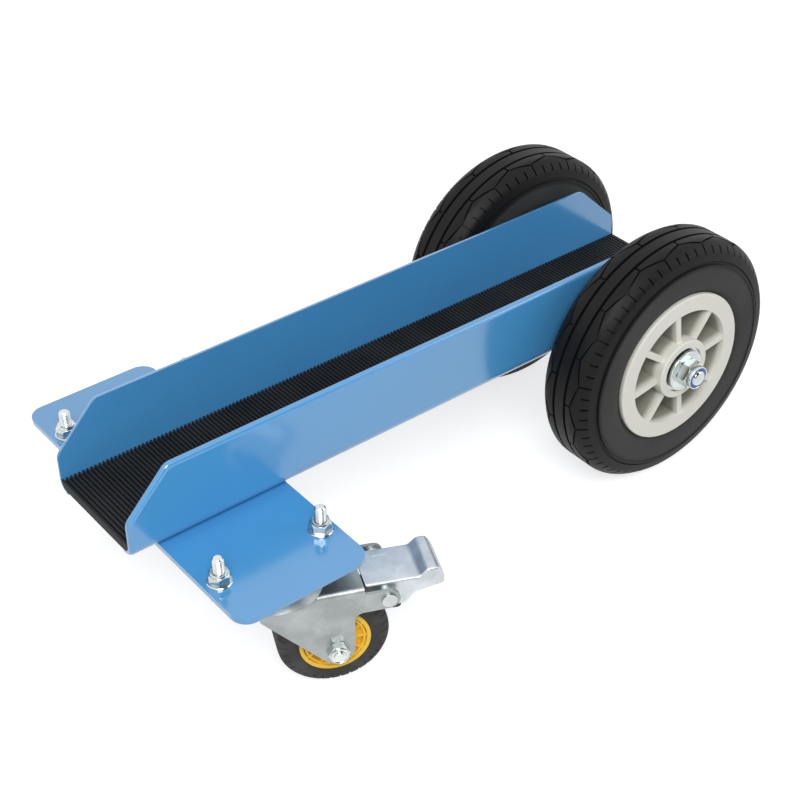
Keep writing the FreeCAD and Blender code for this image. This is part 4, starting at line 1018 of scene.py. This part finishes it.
class DOLLY_OT_brakes(bpy.types.Operator):
    """Dresses the foot pedals and the brake shoes"""
    bl_idname = "dolly.brakes"
    bl_label = "Brakes"

    def execute(self, context):
        for side in SIDES:
            coat(f"{side}_brake_pedal", "pedal")
            coat(f"{side}_brake_shoe", "shoe")
        return {"FINISHED"}


class DOLLY_OT_stage(bpy.types.Operator):
    """Makes the pale floor, the soft lights and the camera"""
    bl_idname = "dolly.stage"
    bl_label = "Stage"

    def execute(self, context):
        scene = context.scene
        setting = scene.dolly_stage
        self.lay_floor(setting)
        self.light(scene, setting)
        self.hang_flag(setting)
        self.aim_camera(scene, setting)
        scene.view_settings.view_transform = "Standard"
        return {"FINISHED"}

    def sheet(self, name, place, finish):
        """Flat square, two metres wide before it is scaled into its place."""
        form = bmesh.new()
        bmesh.ops.create_grid(form, x_segments=1, y_segments=1, size=1)
        bmesh.ops.transform(form, matrix=place, verts=form.verts)
        mesh = bpy.data.meshes.new(name)
        form.to_mesh(mesh)
        form.free()
        mesh.materials.append(finish.material)
        made = bpy.data.objects.new(name, mesh)
        bpy.context.scene.collection.objects.link(made)
        return made

    def lay_floor(self, setting):
        """Pale floor that glows a little as it is seen, and keeps a light shadow."""
        finish = Finish("floor_paper", Roughness=0.9, Specular_IOR_Level=0.1)
        finish.surface(Base_Color=setting.floor)
        rays = finish.node("ShaderNodeLightPath", {}, {})
        seen = Reading(finish, rays.outputs["Is Camera Ray"])
        seen = seen + rays.outputs["Is Glossy Ray"] + rays.outputs["Is Transmission Ray"]
        glow = finish.node("ShaderNodeEmission", {},
                           {"Color": (1, 1, 1), "Strength": seen * setting.floor_glow})
        both = finish.node("ShaderNodeAddShader", {}, {0: finish.shader.outputs[0],
                                                       1: glow.outputs[0]})
        output = finish.tree.nodes["Material Output"]
        finish.tree.links.new(both.outputs[0], output.inputs["Surface"])
        floor = self.sheet("floor", Matrix.Scale(setting.floor_half, 4), finish)
        floor.location.z = -setting.floor_drop

    def light(self, scene, setting):
        """White sky, brighter as it is seen than as it lights, and two round lamps."""
        world = bpy.data.worlds.new("studio")
        scene.world = world
        world.use_nodes = True
        tree = world.node_tree
        rays = tree.nodes.new("ShaderNodeLightPath")
        mix = tree.nodes.new("ShaderNodeMixShader")
        seen = tree.nodes.new("ShaderNodeBackground")
        seen.inputs["Color"].default_value = (1, 1, 1, 1)
        seen.inputs["Strength"].default_value = setting.backdrop
        lit = tree.nodes["Background"]
        lit.inputs["Color"].default_value = (1, 1, 1, 1)
        lit.inputs["Strength"].default_value = setting.sky
        shown = rays.outputs["Is Camera Ray"]
        for kind in ("Is Glossy Ray", "Is Transmission Ray"):
            either = tree.nodes.new("ShaderNodeMath")
            either.operation = "MAXIMUM"
            tree.links.new(shown, either.inputs[0])
            tree.links.new(rays.outputs[kind], either.inputs[1])
            shown = either.outputs[0]
        tree.links.new(shown, mix.inputs[0])
        tree.links.new(lit.outputs[0], mix.inputs[1])
        tree.links.new(seen.outputs[0], mix.inputs[2])
        tree.links.new(mix.outputs[0], tree.nodes["World Output"].inputs["Surface"])
        for name, place, size, power in (
            ("key_lamp", setting.key_spot, 1.2, setting.key),
            ("fill_lamp", setting.fill_spot, 1.2, setting.fill),
        ):
            lamp = bpy.data.lights.new(name, "AREA")
            lamp.energy = power
            lamp.shape = "DISK"
            lamp.size = size
            holder = bpy.data.objects.new(name, lamp)
            holder.location = place
            aim = Vector(setting.lamp_aim) - Vector(place)
            holder.rotation_euler = aim.to_track_quat("-Z", "Y").to_euler()
            scene.collection.objects.link(holder)

    def hang_flag(self, setting):
        """Dark card on the viewer's side, which only reflections show."""
        finish = Finish("flag_cloth", Roughness=1.0, Specular_IOR_Level=0.0)
        finish.surface(Base_Color=setting.flag)
        place = Matrix.LocRotScale(setting.flag_spot, Euler((math.pi / 2, 0, 0)), (2, 1.3, 1))
        flag = self.sheet("flag", place, finish)
        flag.visible_camera = False
        flag.visible_diffuse = False
        flag.visible_shadow = False

    def aim_camera(self, scene, setting):
        """Camera at the photograph's place and angle."""
        azimuth, elevation = math.radians(CAMERA_AZIMUTH), math.radians(CAMERA_ELEVATION)
        roll = math.radians(CAMERA_ROLL)
        back = Vector((math.sin(azimuth) * math.cos(elevation),
                       -math.cos(azimuth) * math.cos(elevation), math.sin(elevation)))
        right = Vector((math.cos(azimuth), math.sin(azimuth), 0))
        up = back.cross(right)
        rolled = math.cos(roll) * right + math.sin(roll) * up
        upright = math.cos(roll) * up - math.sin(roll) * right
        lens = bpy.data.cameras.new("photo_lens")
        lens.lens = setting.lens
        lens.sensor_width = 36
        camera = bpy.data.objects.new("photo_camera", lens)
        turn = Matrix((rolled, upright, back)).transposed().to_4x4()
        camera.matrix_world = Matrix.Translation(setting.camera_spot) @ turn
        scene.collection.objects.link(camera)
        scene.camera = camera


STEPS = (DOLLY_OT_channel, DOLLY_OT_rubber_mat, DOLLY_OT_caster_fixings, DOLLY_OT_axle,
         DOLLY_OT_large_wheels, DOLLY_OT_caster_seats, DOLLY_OT_caster_forks,
         DOLLY_OT_caster_wheels, DOLLY_OT_brakes, DOLLY_OT_stage)


class DOLLY_PT_panel(bpy.types.Panel):
    """Lists the dolly's pieces and their sizes and colours"""
    bl_idname = "DOLLY_PT_panel"
    bl_label = "Door dolly"
    bl_space_type = "VIEW_3D"
    bl_region_type = "UI"
    bl_category = "Dolly"

    def draw(self, context):
        for step in STEPS:
            self.layout.operator(step.bl_idname)
        for name in SETTINGS:
            group = getattr(context.scene, name)
            for setting in group.__annotations__:
                self.layout.prop(group, setting)


SETTINGS = {"dolly_colours": DollyColours, "dolly_tyres": DollyTyreSizes,
            "dolly_fixings": DollyFixingSizes, "dolly_relief": DollyReliefSizes,
            "dolly_stage": DollyStageSettings}
CLASSES = (*SETTINGS.values(), *STEPS, DOLLY_PT_panel)


def register():
    for each in CLASSES:
        bpy.utils.register_class(each)
    for name, group in SETTINGS.items():
        setattr(bpy.types.Scene, name, PointerProperty(type=group))


def unregister():
    for name in SETTINGS:
        delattr(bpy.types.Scene, name)
    for each in reversed(CLASSES):
        bpy.utils.unregister_class(each)


def main():
    register()
    for step in STEPS:
        group, call = step.bl_idname.split(".")
        getattr(getattr(bpy.ops, group), call)()


if __name__ == "__main__":
    main()
